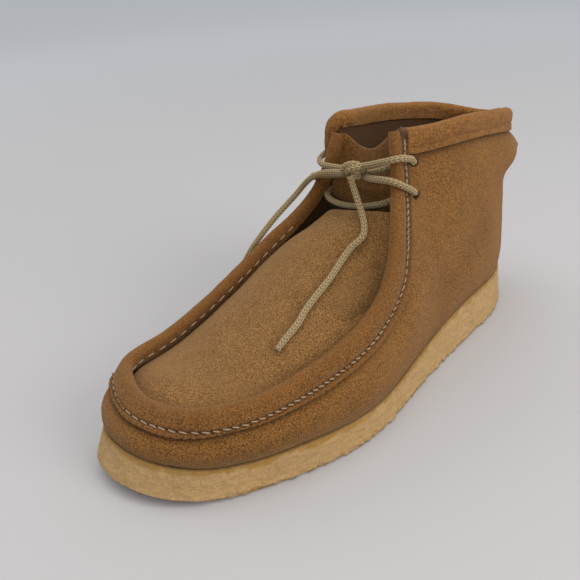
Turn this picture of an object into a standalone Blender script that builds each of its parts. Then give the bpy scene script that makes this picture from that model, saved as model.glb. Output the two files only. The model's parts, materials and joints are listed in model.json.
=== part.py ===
"""Moccasin boot for the left foot: suede upper on a crepe wedge sole.

Frame: metres, +Z up, toe towards -Y, outer side of the foot towards +X, origin on the floor under
the middle of the sole. Tables and named sizes are in millimetres and are scaled by MM.

The wall of the upper is one surface, worked out section by section from the sole's edge to the
top edge of the suede. Every other piece of the upper is laid on that same surface.
"""

import math
from typing import NamedTuple

import bmesh
import bpy
import numpy as np
from mathutils import Vector
from mathutils.bvhtree import BVHTree

MM = 0.001

# Clearances: GAP between pieces that lie on each other, SEAT under the folded strips
GAP = 0.3
SEAT = 0.7

# Sole
FOREFOOT_THICKNESS = 16.3
HEEL_THICKNESS = 27.3
WEDGE_START = -25.0
WEDGE_END = 90.0
TOE_SPRING = 8.2
SPRING_START = -95.0
TOE_END = -151.5
SOLE_BEVEL = 1.2
SOLE_FLARE = 2.0
SOLE_LEDGE = 3.0
HEEL_LEAN = 1.5
HEEL_LEAN_START = 80.0
HEEL_LEAN_END = 150.0

# Leather
WALL = 2.0
BELLY_SHAPE = 6.75
APRON_WALL = 1.8
TONGUE_WALL = 1.6
INSOLE_THICKNESS = 3.0
INSOLE_MARGIN = 1.2

# Mesh steps round the foot and up the wall
STEPS_PER_SECTION = 4
OUTER_LEVELS = (0.0, 0.12, 0.26, 0.42, 0.55, 0.65, 0.73, 0.8, 0.85, 0.9, 0.94, 0.97, 1.0)
INNER_LEVELS = (0.0, 0.26, 0.42, 0.55, 0.65, 0.73, 0.8, 0.85, 0.9, 0.94, 1.0)
MERGE_DISTANCE = 0.05

# Finer copy of the wall, on which the other pieces are laid
FINE_STEPS = 8
FINE_LEVELS = 41
LOCATE_ROUNDS = 4
LOCATE_LONGEST_STEP = 4.0

# Small steps that give the directions of a surface or an edge
EDGE_STEP = 0.5
LEVEL_STEP = 0.01
TWIST_STEP = 1.0
BELOW_TOP_EDGE = 0.98
CURVE_SAMPLES = 600
ROUTE_SAMPLES = 50


class Section(NamedTuple):
    """One line up the wall, from the sole's edge to the suede's top edge."""

    name: str
    edge_x: float
    edge_y: float
    top_x: float
    top_y: float
    top_z: float
    belly: float


SECTIONS = (
    Section("heel back", -9, 151.5, -6, 135.5, 124.3, 2),
    Section("heel turn, outer", 15.5, 133, 12, 125.5, 128.5, 2),
    Section("heel side, outer", 27.7, 100, 23.5, 102, 134.2, 5),
    Section("ankle, outer", 31.3, 78, 26, 68, 138, 6),
    Section("throat top, outer", 36.7, 45, 17.5, 19.3, 140, 6),
    Section("throat, outer", 39.3, 32, 24.5, 13.5, 117.5, 6),
    Section("throat foot, outer", 43, 16, 32.5, 4, 95, 6),
    Section("instep, outer", 48.5, -6, 38.5, -7.5, 73, 6),
    Section("vamp, outer", 54.1, -36, 43.5, -35, 57, 6.5),
    Section("ball, outer", 50.5, -70, 42, -69, 48.5, 6.5),
    Section("toe side, outer", 41, -103, 36.5, -96.5, 45, 6.5),
    Section("toe corner, outer", 30, -127, 26.5, -117.5, 45, 5.5),
    Section("toe front, outer", 10.5, -145.5, 10, -127, 43.5, 5),
    Section("toe tip", -9, -151.5, -8, -130.5, 43, 5),
    Section("toe front, inner", -27, -149.2, -26, -127, 43.5, 5),
    Section("toe corner, inner", -44, -132, -39, -117.5, 44, 5.5),
    Section("toe side, inner", -49.7, -103, -43.5, -97.5, 44, 6.5),
    Section("ball, inner", -52, -70, -46, -70, 50.5, 6.5),
    Section("vamp, inner", -50.3, -36, -46.5, -39.5, 63.5, 6.5),
    Section("instep, inner", -45.5, -6, -43.5, -12.5, 79, 6),
    Section("throat foot, inner", -42.6, 16, -38, 6.5, 92.5, 6),
    Section("throat, inner", -41.6, 32, -31.8, 18.5, 113.5, 6),
    Section("throat top, inner", -41.6, 45, -30, 26.5, 140, 6),
    Section("ankle, inner", -43.7, 78, -36, 67, 136.8, 6),
    Section("heel side, inner", -45, 100, -34, 103, 132, 5),
    Section("heel turn, inner", -33.5, 133, -23, 126, 126.7, 2),
)
OUTER_CORNER = 4
INNER_CORNER = 22
TIP = 13


class Fold(NamedTuple):
    """One corner of a folded strip's section: down from the wall's edge, out from its face.

    A positive down is a share of the strip's outer width, or inside the wall of its inner width.
    """

    name: str
    down: float
    out: float


ROLL_SECTION = (
    Fold("raw lip, outer face", 1.0, 2.2),
    Fold("outer side", 0.45, 3.2),
    Fold("outer shoulder", -0.5, 3.4),
    Fold("crest, outer", -3.2, 1.7),
    Fold("crest", -4.2, -0.6),
    Fold("crest, inner", -3.3, -3.0),
    Fold("inner side", -0.5, -4.4),
    Fold("inner leg, end", 1.0, -4.2),
    Fold("inner leg, back", 1.0, -WALL - SEAT),
    Fold("under the crest, inner", -SEAT, -WALL - SEAT),
    Fold("under the crest, outer", -SEAT, SEAT),
    Fold("outer side, back", 0.4, SEAT),
    Fold("raw lip, back", 1.0, SEAT),
)


class RollWidth(NamedTuple):
    """How far the roll reaches down both faces of the wall, by section from the toe tip."""

    name: str
    place: float
    lip: float
    inner_leg: float


ROLL_WIDTHS = (
    RollWidth("toe tip", 0.0, 10.0, 6.2),
    RollWidth("ball", 4.0, 10.0, 6.2),
    RollWidth("instep", 6.0, 12.0, 5.0),
    RollWidth("throat foot", 7.0, 11.5, 3.0),
    RollWidth("throat", 8.0, 8.8, 2.6),
    RollWidth("throat top", 9.0, 7.0, 2.6),
)
ROLL_STOP_INNER = 8.8

BINDING_SECTION = (
    Fold("raw edge, outer face", 1.0, 1.6),
    Fold("outer leg", 0.62, 1.9),
    Fold("outer shoulder", 0.2, 2.3),
    Fold("outer turn", -0.5, 2.0),
    Fold("rim, outer", -2.2, 0.6),
    Fold("rim", -2.7, -1.0),
    Fold("rim, inner", -2.2, -2.6),
    Fold("inner turn", -0.5, -4.0),
    Fold("inner shoulder", 0.2, -4.3),
    Fold("inner leg", 0.55, -3.9),
    Fold("raw edge, inner face", 0.92, -3.6),
    Fold("raw edge, inner back", 0.92, -WALL - SEAT),
    Fold("inner leg, back", 0.42, -WALL - SEAT),
    Fold("under the rim, inner", -SEAT, -WALL - SEAT),
    Fold("under the rim, outer", -SEAT, SEAT),
    Fold("outer leg, back", 0.5, SEAT),
    Fold("raw edge, outer back", 1.0, SEAT),
)
BINDING_HEIGHT = 10.6
BINDING_HEIGHT_INNER_END = 8.2
BINDING_TAPER_REACH = 20.0
BINDING_SETBACK_OUTER = 8.0
BINDING_SETBACK_INNER = 0.6
BINDING_SLANT_REACH = 24.0
BINDING_SLANT_CHORD = 8.0


class ApronRow(NamedTuple):
    """One line across the apron, between two places counted in sections from the toe tip.

    rise is the height of its dome, and the gaps are its distances from the roll.
    """

    name: str
    step: float
    outer_place: float
    inner_place: float
    rise: float
    outer_gap: float
    inner_gap: float


APRON_ROWS = (
    ApronRow("toe tip", 0.0, 0.0, 0.0, 0.0, 0.0, 0.0),
    ApronRow("toes", 1.0, 1.0, 1.0, 3.0, 0.0, 0.0),
    ApronRow("toe corners", 2.0, 2.0, 2.0, 6.5, 0.0, 0.0),
    ApronRow("toe sides", 3.0, 3.0, 3.0, 9.5, 0.0, 0.0),
    ApronRow("ball", 4.0, 4.0, 4.0, 12.5, 0.0, 0.0),
    ApronRow("vamp", 5.0, 5.0, 4.95, 14.0, 0.0, 0.0),
    ApronRow("instep", 6.0, 6.05, 5.9, 12.0, 0.0, 1.0),
    ApronRow("throat foot", 7.0, 7.1, 6.8, 6.0, 0.4, 7.0),
    ApronRow("free top edge", 7.4, 7.45, 7.07, 2.0, 0.6, 10.0),
)
APRON_EDGE_DOWN = 3.6
APRON_EDGE_OUT = -5.4
APRON_DOME_POWER = 2.4
APRON_STEPS_ALONG = 22
APRON_STEPS_ACROSS = 10


class GussetFold(NamedTuple):
    """One corner of the tongue's side: laid inside the wall, and lower by some sections on top."""

    name: str
    down: float
    out: float
    lower: float


class TongueRow(NamedTuple):
    """One line across the tongue.

    place counts sections from the toe tip. The line's ends lie back from the seam's edges and
    inwards by depths. bulge arches it towards the laces, and dip lowers its middle.
    """

    name: str
    place: float
    outer_back: float
    outer_depth: float
    inner_back: float
    inner_depth: float
    bulge: float
    dip: float


TONGUE_ROWS = (
    TongueRow("sewn under the apron", 6.2, 7.0, 12.5, 7.0, 12.5, 2.0, 0.0),
    TongueRow("throat foot", 7.0, 12.0, 12.5, 12.0, 12.5, -3.0, 0.0),
    TongueRow("lower laces", 7.7, 13.0, 12.0, 11.5, 12.0, -3.5, 0.0),
    TongueRow("upper laces", 8.3, 8.5, 11.5, 8.5, 11.5, 0.0, 2.0),
    TongueRow("top edge", 8.85, 7.0, 10.5, 5.5, 7.5, 2.0, 9.0),
)
TONGUE_GUSSET = (
    GussetFold("sewn to the wall", 20.0, -2.5, 0.5),
    GussetFold("gusset, side", 17.0, -5.0, 0.35),
    GussetFold("gusset, turn", 13.5, -9.0, 0.1),
)
TONGUE_STEPS_ALONG = 9
TONGUE_STEPS_ACROSS = 8


class LaceHole(NamedTuple):
    """One punched hole: which throat edge, how far below its top, how far behind the edge."""

    name: str
    outer: bool
    below_top: float
    behind_edge: float


LACE_HOLES = (
    LaceHole("outer, upper", True, 14.0, 13.5),
    LaceHole("outer, lower", True, 28.6, 16.6),
    LaceHole("inner, upper", False, 15.0, 13.5),
    LaceHole("inner, lower", False, 34.0, 13.5),
)
LACE_HOLE_RADIUS = 2.4
LACE_HOLE_SIDES = 12

# Laces: routes of round cord
LACE_RADIUS = 1.8
CORD_RESOLUTION = 2
BAR_STEP = 4.0
TAIL_STEP = 7.2
LOWER_BAR = (
    (20.6, 24.6, 106.8),
    (19.0, 19.0, 105.4),
    (15.4, 15.0, 103.6),
    (12.0, 13.4, 102.2),
    (8.5, 13.2, 101.0),
    (2.0, 13.3, 98.8),
    (-6.0, 13.4, 96.9),
    (-14.0, 13.4, 96.0),
    (-21.0, 14.0, 96.0),
    (-26.4, 16.4, 97.4),
    (-29.2, 20.6, 98.9),
    (-29.9, 25.6, 100.0),
)
CROSS_FROM_OUTER_HOLE = (
    (28.4, 26.0, 108.3),
    (30.2, 22.3, 109.8),
    (31.3, 18.5, 111.9),
    (31.7, 15.0, 114.0),
    (31.0, 11.6, 116.4),
    (29.0, 8.3, 118.4),
    (25.6, 6.6, 119.2),
    (21.0, 6.8, 118.9),
    (14.5, 7.9, 117.8),
    (8.6, 9.4, 116.8),
    (2.0, 12.2, 115.8),
    (-5.0, 15.6, 115.8),
    (-12.0, 18.4, 116.8),
    (-19.0, 20.8, 118.6),
    (-23.4, 23.2, 119.8),
    (-25.2, 26.4, 120.2),
    (-26.7, 30.0, 120.3),
    (-28.6, 33.3, 120.1),
)
CROSS_FROM_INNER_HOLE = (
    (-37.8, 24.4, 100.4),
    (-38.8, 21.4, 102.2),
    (-39.8, 18.2, 104.2),
    (-39.8, 15.2, 106.2),
    (-38.6, 12.4, 108.0),
    (-35.2, 10.3, 109.4),
    (-29.5, 10.2, 110.6),
    (-20.0, 12.6, 112.2),
    (-8.0, 16.0, 114.4),
    (0.0, 16.8, 116.0),
    (7.0, 16.4, 118.4),
    (11.6, 17.4, 120.2),
    (14.2, 21.4, 121.4),
    (16.3, 25.0, 122.4),
    (18.0, 27.9, 122.7),
)
UPPER_BAR_OUTER = (
    (25.2, 27.8, 123.6),
    (26.9, 24.3, 125.6),
    (28.2, 20.6, 127.5),
    (28.6, 16.8, 128.9),
    (27.2, 12.9, 129.6),
    (24.2, 10.2, 129.2),
    (19.8, 8.9, 127.7),
    (14.5, 8.7, 125.8),
    (10.0, 8.8, 124.2),
    (4.9, 8.9, 122.7),
)
UPPER_BAR_INNER = (
    (-36.5, 33.7, 120.5),
    (-38.4, 29.4, 120.6),
    (-39.4, 25.0, 119.8),
    (-39.6, 20.4, 118.2),
    (-38.4, 15.9, 116.9),
    (-34.6, 12.8, 116.0),
    (-29.2, 11.4, 115.9),
    (-20.0, 11.4, 116.7),
    (-12.0, 10.8, 117.8),
    (-6.2, 10.4, 118.8),
)
KNOT_CENTRE = (-1.2, 9.0, 121.6)
KNOT_SIZE = (5.0, 3.4, 4.7)
KNOT_SIDES = 12
LONG_TAIL = (
    (-0.2, 3.9, 117.6),
    (1.0, 4.2, 114.2),
    (3.2, 4.1, 109.6),
    (6.4, 3.3, 104.6),
    (10.2, 2.0, 99.6),
    (13.8, -0.3, 95.8),
    (16.0, -2.7, 92.6),
    (16.4, -4.9, 90.4),
    (15.4, -7.4, 88.4),
    (14.2, -10.0, 86.4),
    (13.4, -13.6, 83.2),
    (13.4, -18.2, 79.6),
    (14.2, -26.4, 74.0),
    (15.6, -39.3, 67.8),
    (16.9, -46.1, 64.6),
    (19.1, -52.8, 61.4),
    (20.4, -61.3, 57.9),
    (21.9, -69.5, 54.6),
)
INNER_TAIL = (
    (-5.6, 5.0, 118.0),
    (-12.0, 5.6, 116.8),
    (-17.8, 5.8, 115.7),
    (-24.0, 5.8, 114.0),
    (-30.0, 5.6, 111.2),
    (-35.5, 6.0, 107.6),
    (-39.4, 5.2, 103.8),
    (-42.2, 2.0, 99.0),
    (-44.6, -2.5, 94.2),
    (-46.8, -8.4, 89.0),
    (-49.0, -14.4, 83.0),
    (-51.0, -20.0, 77.0),
    (-53.4, -26.0, 69.5),
    (-55.2, -30.6, 61.5),
    (-56.4, -34.0, 53.0),
)


class Wave(NamedTuple):
    """A soft ridge or hollow that runs round the heel."""

    name: str
    height: float
    half_width: float
    depth: float


HEEL_WAVES = (
    Wave("sag under the binding", 108, 10, 11.5),
    Wave("pinch above the heel cup", 91, 7, -6.5),
    Wave("hollow of the heel", 70, 14, -3.0),
    Wave("swell over the sole", 43, 9, 1.5),
)
HEEL_WAVE_REACH = 90.0
HEEL_WAVE_TOP = 124.0
HEEL_WAVE_FADE = 13.0

# The collar's sag just behind the outer front corner, along the sole's edge
COLLAR_DIP = 2.4
COLLAR_DIP_START = 8.4
COLLAR_DIP_END = 36.0


def smoothstep(value):
    """Ease from 0 to 1."""
    value = np.clip(value, 0.0, 1.0)
    return value * value * (3.0 - 2.0 * value)


def sole_bottom(y):
    """Height of the sole's underside: flat, with the toe sprung up."""
    lift = np.maximum(SPRING_START - y, 0.0) / (SPRING_START - TOE_END)
    return TOE_SPRING * lift * lift


def sole_top(y):
    """Height of the sole's upper face along the wedge."""
    rise = smoothstep((y - WEDGE_START) / (WEDGE_END - WEDGE_START))
    return sole_bottom(y) + FOREFOOT_THICKNESS + (HEEL_THICKNESS - FOREFOOT_THICKNESS) * rise


def sole_lean(y):
    """How far back the sole's top edge stands over its bottom edge, square to the sprung toe."""
    slope = 2.0 * TOE_SPRING * np.maximum(SPRING_START - y, 0.0) / (SPRING_START - TOE_END) ** 2
    heel = smoothstep((y - HEEL_LEAN_START) / (HEEL_LEAN_END - HEEL_LEAN_START))
    return slope * FOREFOOT_THICKNESS - HEEL_LEAN * heel


class Spline:
    """A cubic spline through rows of numbers, open or closed."""

    def __init__(self, knots, rows, closed=False):
        self.knots = np.asarray(knots, dtype=float)
        self.rows = np.asarray(rows, dtype=float)
        self.closed = closed
        steps = np.diff(self.knots)
        count = len(self.rows)
        system = np.zeros((count, count))
        right = np.zeros_like(self.rows)
        for index in range(count):
            if not closed and index in (0, count - 1):
                system[index, index] = 1.0
                continue
            before = steps[index - 1]
            after = steps[index]
            following = (index + 1) % count
            system[index, index - 1] += before
            system[index, index] += 2.0 * (before + after)
            system[index, following] += after
            rise = (self.rows[following] - self.rows[index]) / after
            fall = (self.rows[index] - self.rows[index - 1]) / before
            right[index] = 6.0 * (rise - fall)
        self.bends = np.linalg.solve(system, right)

    def at(self, where):
        """The spline's rows at places along its knots."""
        where = np.asarray(where, dtype=float)
        if self.closed:
            where = self.knots[0] + (where - self.knots[0]) % (self.knots[-1] - self.knots[0])
        index = np.clip(np.searchsorted(self.knots, where, side="right") - 1, 0,
                        len(self.knots) - 2)
        following = (index + 1) % len(self.rows)
        step = (self.knots[index + 1] - self.knots[index])[..., None]
        ahead = (where - self.knots[index])[..., None] / step
        back = 1.0 - ahead
        bend = (back**3 - back) * self.bends[index] + (ahead**3 - ahead) * self.bends[following]
        return back * self.rows[index] + ahead * self.rows[following] + bend * step**2 / 6.0


def chord_knots(points, closed=False):
    """Knots spaced by the distance from one point to the next."""
    points = np.asarray(points, dtype=float)
    if closed:
        points = np.vstack([points, points[:1]])
    return np.concatenate([[0.0], np.cumsum(np.linalg.norm(np.diff(points, axis=0), axis=1))])


def unit(vectors):
    """Vectors scaled to length one."""
    return vectors / np.linalg.norm(vectors, axis=-1, keepdims=True)


class Wall:
    """The outer face of the upper's wall, by place round the foot and height up the wall."""

    def __init__(self):
        edge = [(row.edge_x, row.edge_y) for row in SECTIONS]
        top = [(row.top_x, row.top_y, row.top_z) for row in SECTIONS]
        self.knots = chord_knots(edge, closed=True)
        self.turn = self.knots[-1]
        self.edge = Spline(self.knots, edge, closed=True)
        self.belly = Spline(self.knots, [(row.belly,) for row in SECTIONS], closed=True)
        self.seam_start = self.knots[OUTER_CORNER]
        self.seam_end = self.knots[INNER_CORNER]
        self.seam = Spline(self.knots[OUTER_CORNER:INNER_CORNER + 1],
                           top[OUTER_CORNER:INNER_CORNER + 1])
        collar_knots = np.concatenate([self.knots[INNER_CORNER:-1],
                                       self.knots[:OUTER_CORNER + 1] + self.turn])
        self.collar = Spline(collar_knots, top[INNER_CORNER:] + top[:OUTER_CORNER + 1])
        self.fine_columns = self.columns(FINE_STEPS)
        self.fine_levels = np.linspace(0.0, 1.0, FINE_LEVELS)
        self.tree = self.fine_tree()

    def columns(self, steps):
        """Places round the foot, with the same number of steps between any two sections."""
        fractions = np.arange(steps) / steps
        return (self.knots[:-1, None] + np.diff(self.knots)[:, None] * fractions).ravel()

    def edge_point(self, where, inset=0.0):
        """A point of the sole's outline, moved inwards by inset."""
        ahead = unit(self.edge.at(where + EDGE_STEP) - self.edge.at(where - EDGE_STEP))
        inward = np.stack([ahead[..., 1], -ahead[..., 0]], axis=-1)
        return self.edge.at(where) + inset * inward

    def sole_ring(self, where, inset, height, drop=0.0):
        """Points round the sole's side: height 0 is its underside and 1 is its upper face."""
        flat = self.edge_point(where, inset)
        bottom = sole_bottom(flat[..., 1])
        top = sole_top(flat[..., 1])
        shifted = flat[..., 1] + sole_lean(flat[..., 1]) * height
        level = bottom + (top - bottom) * height - drop
        return np.stack([flat[..., 0], shifted, level], axis=-1)

    def foot_line(self, where):
        """The wall's bottom edge, standing on the sole just inside its ledge."""
        return self.sole_ring(where, SOLE_LEDGE, 1.0, -GAP)

    def top_line(self, where):
        """The wall's top edge: collar at the back, seam with the apron in front."""
        where = np.asarray(where, dtype=float) % self.turn
        in_front = (where >= self.seam_start) & (where <= self.seam_end)
        behind = np.where(where < self.seam_start, where + self.turn, where)
        collar = self.collar.at(behind)
        back = self.seam_start + self.turn - behind
        dip = smoothstep(back / COLLAR_DIP_START) \
            * (1.0 - smoothstep((back - COLLAR_DIP_START) / (COLLAR_DIP_END - COLLAR_DIP_START)))
        collar = collar - np.stack([0 * dip, 0 * dip, COLLAR_DIP * dip], axis=-1)
        return np.where(in_front[..., None], self.seam.at(where), collar)

    def ruled(self, where, up):
        """The straight line from the wall's foot to its top edge."""
        up = np.asarray(up, dtype=float)[..., None]
        return (1.0 - up) * self.foot_line(where) + up * self.top_line(where)

    def point(self, where, up):
        """A point of the wall's outer face."""
        where, up = np.broadcast_arrays(np.asarray(where, float), np.asarray(up, float))
        here = self.ruled(where, up)
        below = up * BELOW_TOP_EDGE
        around = self.ruled(where + TWIST_STEP, below) - self.ruled(where - TWIST_STEP, below)
        outward = unit(np.cross(self.top_line(where) - self.foot_line(where), around))
        swell = self.belly.at(where)[..., 0] * BELLY_SHAPE * up * (1.0 - up) ** 2
        swell = swell + self.heel_wave(where, here[..., 2])
        return here + outward * swell[..., None]

    def heel_wave(self, where, height):
        """How far the sagged suede at the heel stands out."""
        away = np.minimum(where % self.turn, self.turn - where % self.turn)
        reach = 1.0 - smoothstep(away / HEEL_WAVE_REACH)
        waves = [wave.depth * np.exp(-((height - wave.height) / wave.half_width) ** 2)
                 for wave in HEEL_WAVES]
        below_collar = smoothstep((HEEL_WAVE_TOP - height) / HEEL_WAVE_FADE)
        return reach * below_collar * sum(waves)

    def normal(self, where, up):
        """The wall's outward direction."""
        low = np.maximum(up - LEVEL_STEP, 0.0)
        high = np.minimum(up + LEVEL_STEP, 1.0)
        along = self.point(where + EDGE_STEP, up) - self.point(where - EDGE_STEP, up)
        rise = self.point(where, high) - self.point(where, low)
        return unit(np.cross(rise, along))

    def offset(self, where, up, out):
        """A point that stands out from the wall's outer face."""
        return self.point(where, up) + np.asarray(out)[..., None] * self.normal(where, up)

    def fine_tree(self):
        """A fine copy of the wall's outer face, for laying other pieces on it."""
        columns = self.fine_columns
        places, heights = np.meshgrid(columns, self.fine_levels, indexing="ij")
        points = [Vector(point) for point in self.point(places, heights).reshape(-1, 3)]
        faces = []
        for column in range(len(columns)):
            here = column * FINE_LEVELS
            following = (column + 1) % len(columns) * FINE_LEVELS
            faces += [(here + level, here + level + 1, following + level + 1, following + level)
                      for level in range(FINE_LEVELS - 1)]
        return BVHTree.FromPolygons(points, faces)

    def locate(self, targets):
        """The places and heights on the wall nearest to some points."""
        targets = np.asarray(targets, dtype=float)
        found = [self.tree.find_nearest(Vector(target))[2] for target in targets]
        column, level = np.divmod(np.array(found), FINE_LEVELS - 1)
        where = self.fine_columns[column] + 1.0
        up = self.fine_levels[level] + 0.5 / (FINE_LEVELS - 1)
        for _ in range(LOCATE_ROUNDS):
            low = np.maximum(up - LEVEL_STEP, 0.0)
            high = np.minimum(up + LEVEL_STEP, 1.0)
            ahead = self.point(where + EDGE_STEP, up)
            along = (ahead - self.point(where - EDGE_STEP, up)) / (2.0 * EDGE_STEP)
            rise = (self.point(where, high) - self.point(where, low)) / (high - low)[:, None]
            away = targets - self.point(where, up)
            slopes = np.stack([along, rise], axis=-1)
            square = np.einsum("nki,nkj->nij", slopes, slopes)
            pull = np.einsum("nki,nk->ni", slopes, away)
            step = np.linalg.solve(square, pull[..., None])[..., 0]
            where = where + np.clip(step[:, 0], -LOCATE_LONGEST_STEP, LOCATE_LONGEST_STEP)
            up = np.clip(up + step[:, 1], 0.0, 1.0)
        return where, up

    def seam_frame(self, where):
        """Along the top edge in front: the edge, the way down into the wall, and outwards."""
        start = np.clip(where - EDGE_STEP, self.seam_start, self.seam_end)
        end = np.clip(where + EDGE_STEP, self.seam_start, self.seam_end)
        along = unit(self.seam.at(end) - self.seam.at(start))
        inside = np.clip(where, self.seam_start + TWIST_STEP, self.seam_end - TWIST_STEP)
        outward = self.normal(inside, np.full_like(inside, 1.0))
        down = unit(np.cross(outward, along))
        return self.seam.at(where), down, outward

    def collar_frame(self, where):
        """Along the collar: the edge, the way down into the wall, and outwards."""
        edge = self.top_line(where)
        down = unit(self.foot_line(where) - edge)
        outward = self.normal(where, np.full_like(where, 1.0))
        return edge, down, outward

    def laid_at(self, frame, downs, out):
        """Points laid on the wall, down from its top edge and out from its outer face."""
        edge, inward, outward = frame
        downs = np.asarray(downs)[:, None]
        if downs[0, 0] <= 0.0:
            return edge + inward * downs + outward * out
        where, up = self.locate(edge + inward * downs)
        return self.offset(where, up, np.full_like(where, out))

    def laid(self, frame, down, out):
        """Points laid on the wall, all the same distance down from its top edge."""
        return self.laid_at(frame, np.full(len(frame[0]), float(down)), out)


def new_object(name, bm, material, smooth_angle=40.0):
    """Turn a bmesh in millimetres into a named object with its material."""
    mesh = bpy.data.meshes.new(name)
    bmesh.ops.scale(bm, vec=(MM, MM, MM), verts=bm.verts[:])
    bm.to_mesh(mesh)
    bm.free()
    mesh.shade_smooth()
    mesh.set_sharp_from_angle(angle=math.radians(smooth_angle))
    mesh.materials.append(material)
    item = bpy.data.objects.new(name, mesh)
    bpy.context.scene.collection.objects.link(item)
    return item


def make_material(name, colour, roughness):
    """A plain finish of one colour."""
    material = bpy.data.materials.new(name)
    material.use_nodes = True
    shader = material.node_tree.nodes["Principled BSDF"]
    shader.inputs["Base Color"].default_value = (*colour, 1.0)
    shader.inputs["Roughness"].default_value = roughness
    shader.inputs["Metallic"].default_value = 0.0
    return material


def start_line(bm, points, closed):
    """A row of vertices joined by edges."""
    verts = [bm.verts.new(point) for point in points]
    pairs = list(zip(verts, verts[1:]))
    if closed:
        pairs.append((verts[-1], verts[0]))
    for pair in pairs:
        bm.edges.new(pair)
    return verts


def extrude_line(bm, verts, points, closed):
    """Extrude a row of vertices by one step, on to the given points."""
    pairs = list(zip(verts, verts[1:]))
    if closed:
        pairs.append((verts[-1], verts[0]))
    edges = [bm.edges.get(pair) for pair in pairs]
    made = set(bmesh.ops.extrude_edge_only(bm, edges=edges)["geom"])
    moved = []
    for vert, point in zip(verts, points):
        follower = next(edge.other_vert(vert) for edge in vert.link_edges
                        if edge.other_vert(vert) in made)
        follower.co = point
        moved.append(follower)
    return moved


def loft(bm, lines, closed):
    """Skin through rows of points; returns the rows of vertices."""
    rows = [start_line(bm, lines[0], closed)]
    for points in lines[1:]:
        rows.append(extrude_line(bm, rows[-1], points, closed))
    return rows


def fill_across(bm, ring):
    """Close a ring with strips that run from one side of the foot to the other."""
    count = len(ring)
    half = count // 2
    for step in range(half):
        corners = [ring[step], ring[step + 1], ring[(count - step - 1) % count],
                   ring[(count - step) % count]]
        bm.faces.new(list(dict.fromkeys(corners)))


def bow_out(across, power):
    """Height of an arch from one side (0) to the other (1)."""
    return 1.0 - np.abs(2.0 * across - 1.0) ** power


def turn_towards(bm, direction):
    """Turn a skin's faces so that the middle of it looks one way."""
    bmesh.ops.recalc_face_normals(bm, faces=bm.faces[:])
    total = Vector((0.0, 0.0, 0.0))
    for face in bm.faces:
        total += face.normal * face.calc_area()
    if total.dot(direction) < 0.0:
        bmesh.ops.reverse_faces(bm, faces=bm.faces[:])


def solidify(item, thickness):
    """Give a skin its thickness, inwards from the outer face."""
    modifier = item.modifiers.new("thickness", "SOLIDIFY")
    modifier.thickness = thickness * MM
    modifier.offset = -1.0
    modifier.use_even_offset = True
    modifier.use_quality_normals = True


def strip_object(name, lines, material):
    """A folded strip: closed sections along a path, with both ends closed."""
    bm = bmesh.new()
    rows = loft(bm, lines, closed=True)
    bm.faces.new(rows[0])
    bm.faces.new(rows[-1])
    bmesh.ops.recalc_face_normals(bm, faces=bm.faces[:])
    return new_object(name, bm, material)


def build_outsole(wall, material):
    """One wedge of crepe, flared towards the ground, with soft edges."""
    columns = wall.columns(STEPS_PER_SECTION)
    bm = bmesh.new()
    lines = [wall.sole_ring(columns, SOLE_BEVEL, 0.0),
             wall.sole_ring(columns, 0.0, 0.0, -SOLE_BEVEL),
             wall.sole_ring(columns, SOLE_FLARE, 1.0, SOLE_BEVEL / 2),
             wall.sole_ring(columns, SOLE_FLARE + SOLE_BEVEL / 2, 1.0)]
    rows = loft(bm, lines, closed=True)
    fill_across(bm, rows[0])
    fill_across(bm, rows[-1])
    bmesh.ops.recalc_face_normals(bm, faces=bm.faces[:])
    return new_object("outsole", bm, material)


def build_insole(wall, material):
    """The leather sock that lies on the sole, inside the wall."""
    columns = wall.columns(STEPS_PER_SECTION)
    inset = SOLE_LEDGE + WALL + INSOLE_MARGIN
    lines = [wall.sole_ring(columns, inset, 1.0, -GAP),
             wall.sole_ring(columns, inset, 1.0, -GAP - INSOLE_THICKNESS)]
    bm = bmesh.new()
    rows = loft(bm, lines, closed=True)
    fill_across(bm, rows[0])
    fill_across(bm, rows[-1])
    bmesh.ops.recalc_face_normals(bm, faces=bm.faces[:])
    return new_object("insole", bm, material)


def build_upper(wall, material):
    """The suede wall and quarters: one hollow horseshoe, open above and below."""
    columns = wall.columns(STEPS_PER_SECTION)
    outer = [wall.point(columns, np.full_like(columns, level)) for level in OUTER_LEVELS]
    inner = [wall.offset(columns, np.full_like(columns, level), np.full_like(columns, -WALL))
             for level in INNER_LEVELS]
    inner[0] = wall.sole_ring(columns, SOLE_LEDGE + WALL, 1.0, -GAP)
    bm = bmesh.new()
    rows = loft(bm, outer + inner[::-1], closed=True)
    count = len(columns)
    rims = [bm.edges.get((row[step], row[(step + 1) % count]))
            for row in (rows[0], rows[-1]) for step in range(count)]
    bmesh.ops.bridge_loops(bm, edges=rims)
    bmesh.ops.recalc_face_normals(bm, faces=bm.faces[:])
    return new_object("upper", bm, material)


def seam_places(wall):
    """Places along the seam that match the wall's own columns."""
    columns = wall.columns(STEPS_PER_SECTION)
    return columns[OUTER_CORNER * STEPS_PER_SECTION:INNER_CORNER * STEPS_PER_SECTION + 1]


def paired_places(wall, sections):
    """Places on the outer and inner seam, a number of sections back from the toe tip."""
    numbers = np.arange(len(SECTIONS) + 1)
    outer = np.interp(TIP - sections, numbers, wall.knots)
    inner = np.interp(TIP + sections, numbers, wall.knots)
    return outer, inner


def sections_from_tip(wall, places):
    """How many sections each place lies from the toe tip."""
    numbers = np.interp(places, wall.knots, np.arange(len(wall.knots)))
    return np.abs(numbers - TIP)


def seam_reach(wall, from_outer, distance):
    """The place on the seam at a distance from its outer or inner end."""
    places = np.linspace(wall.seam_start, wall.seam_end, CURVE_SAMPLES)
    if not from_outer:
        places = places[::-1]
    length = chord_knots(wall.seam.at(places))
    return float(np.interp(distance, length, places))


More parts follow.
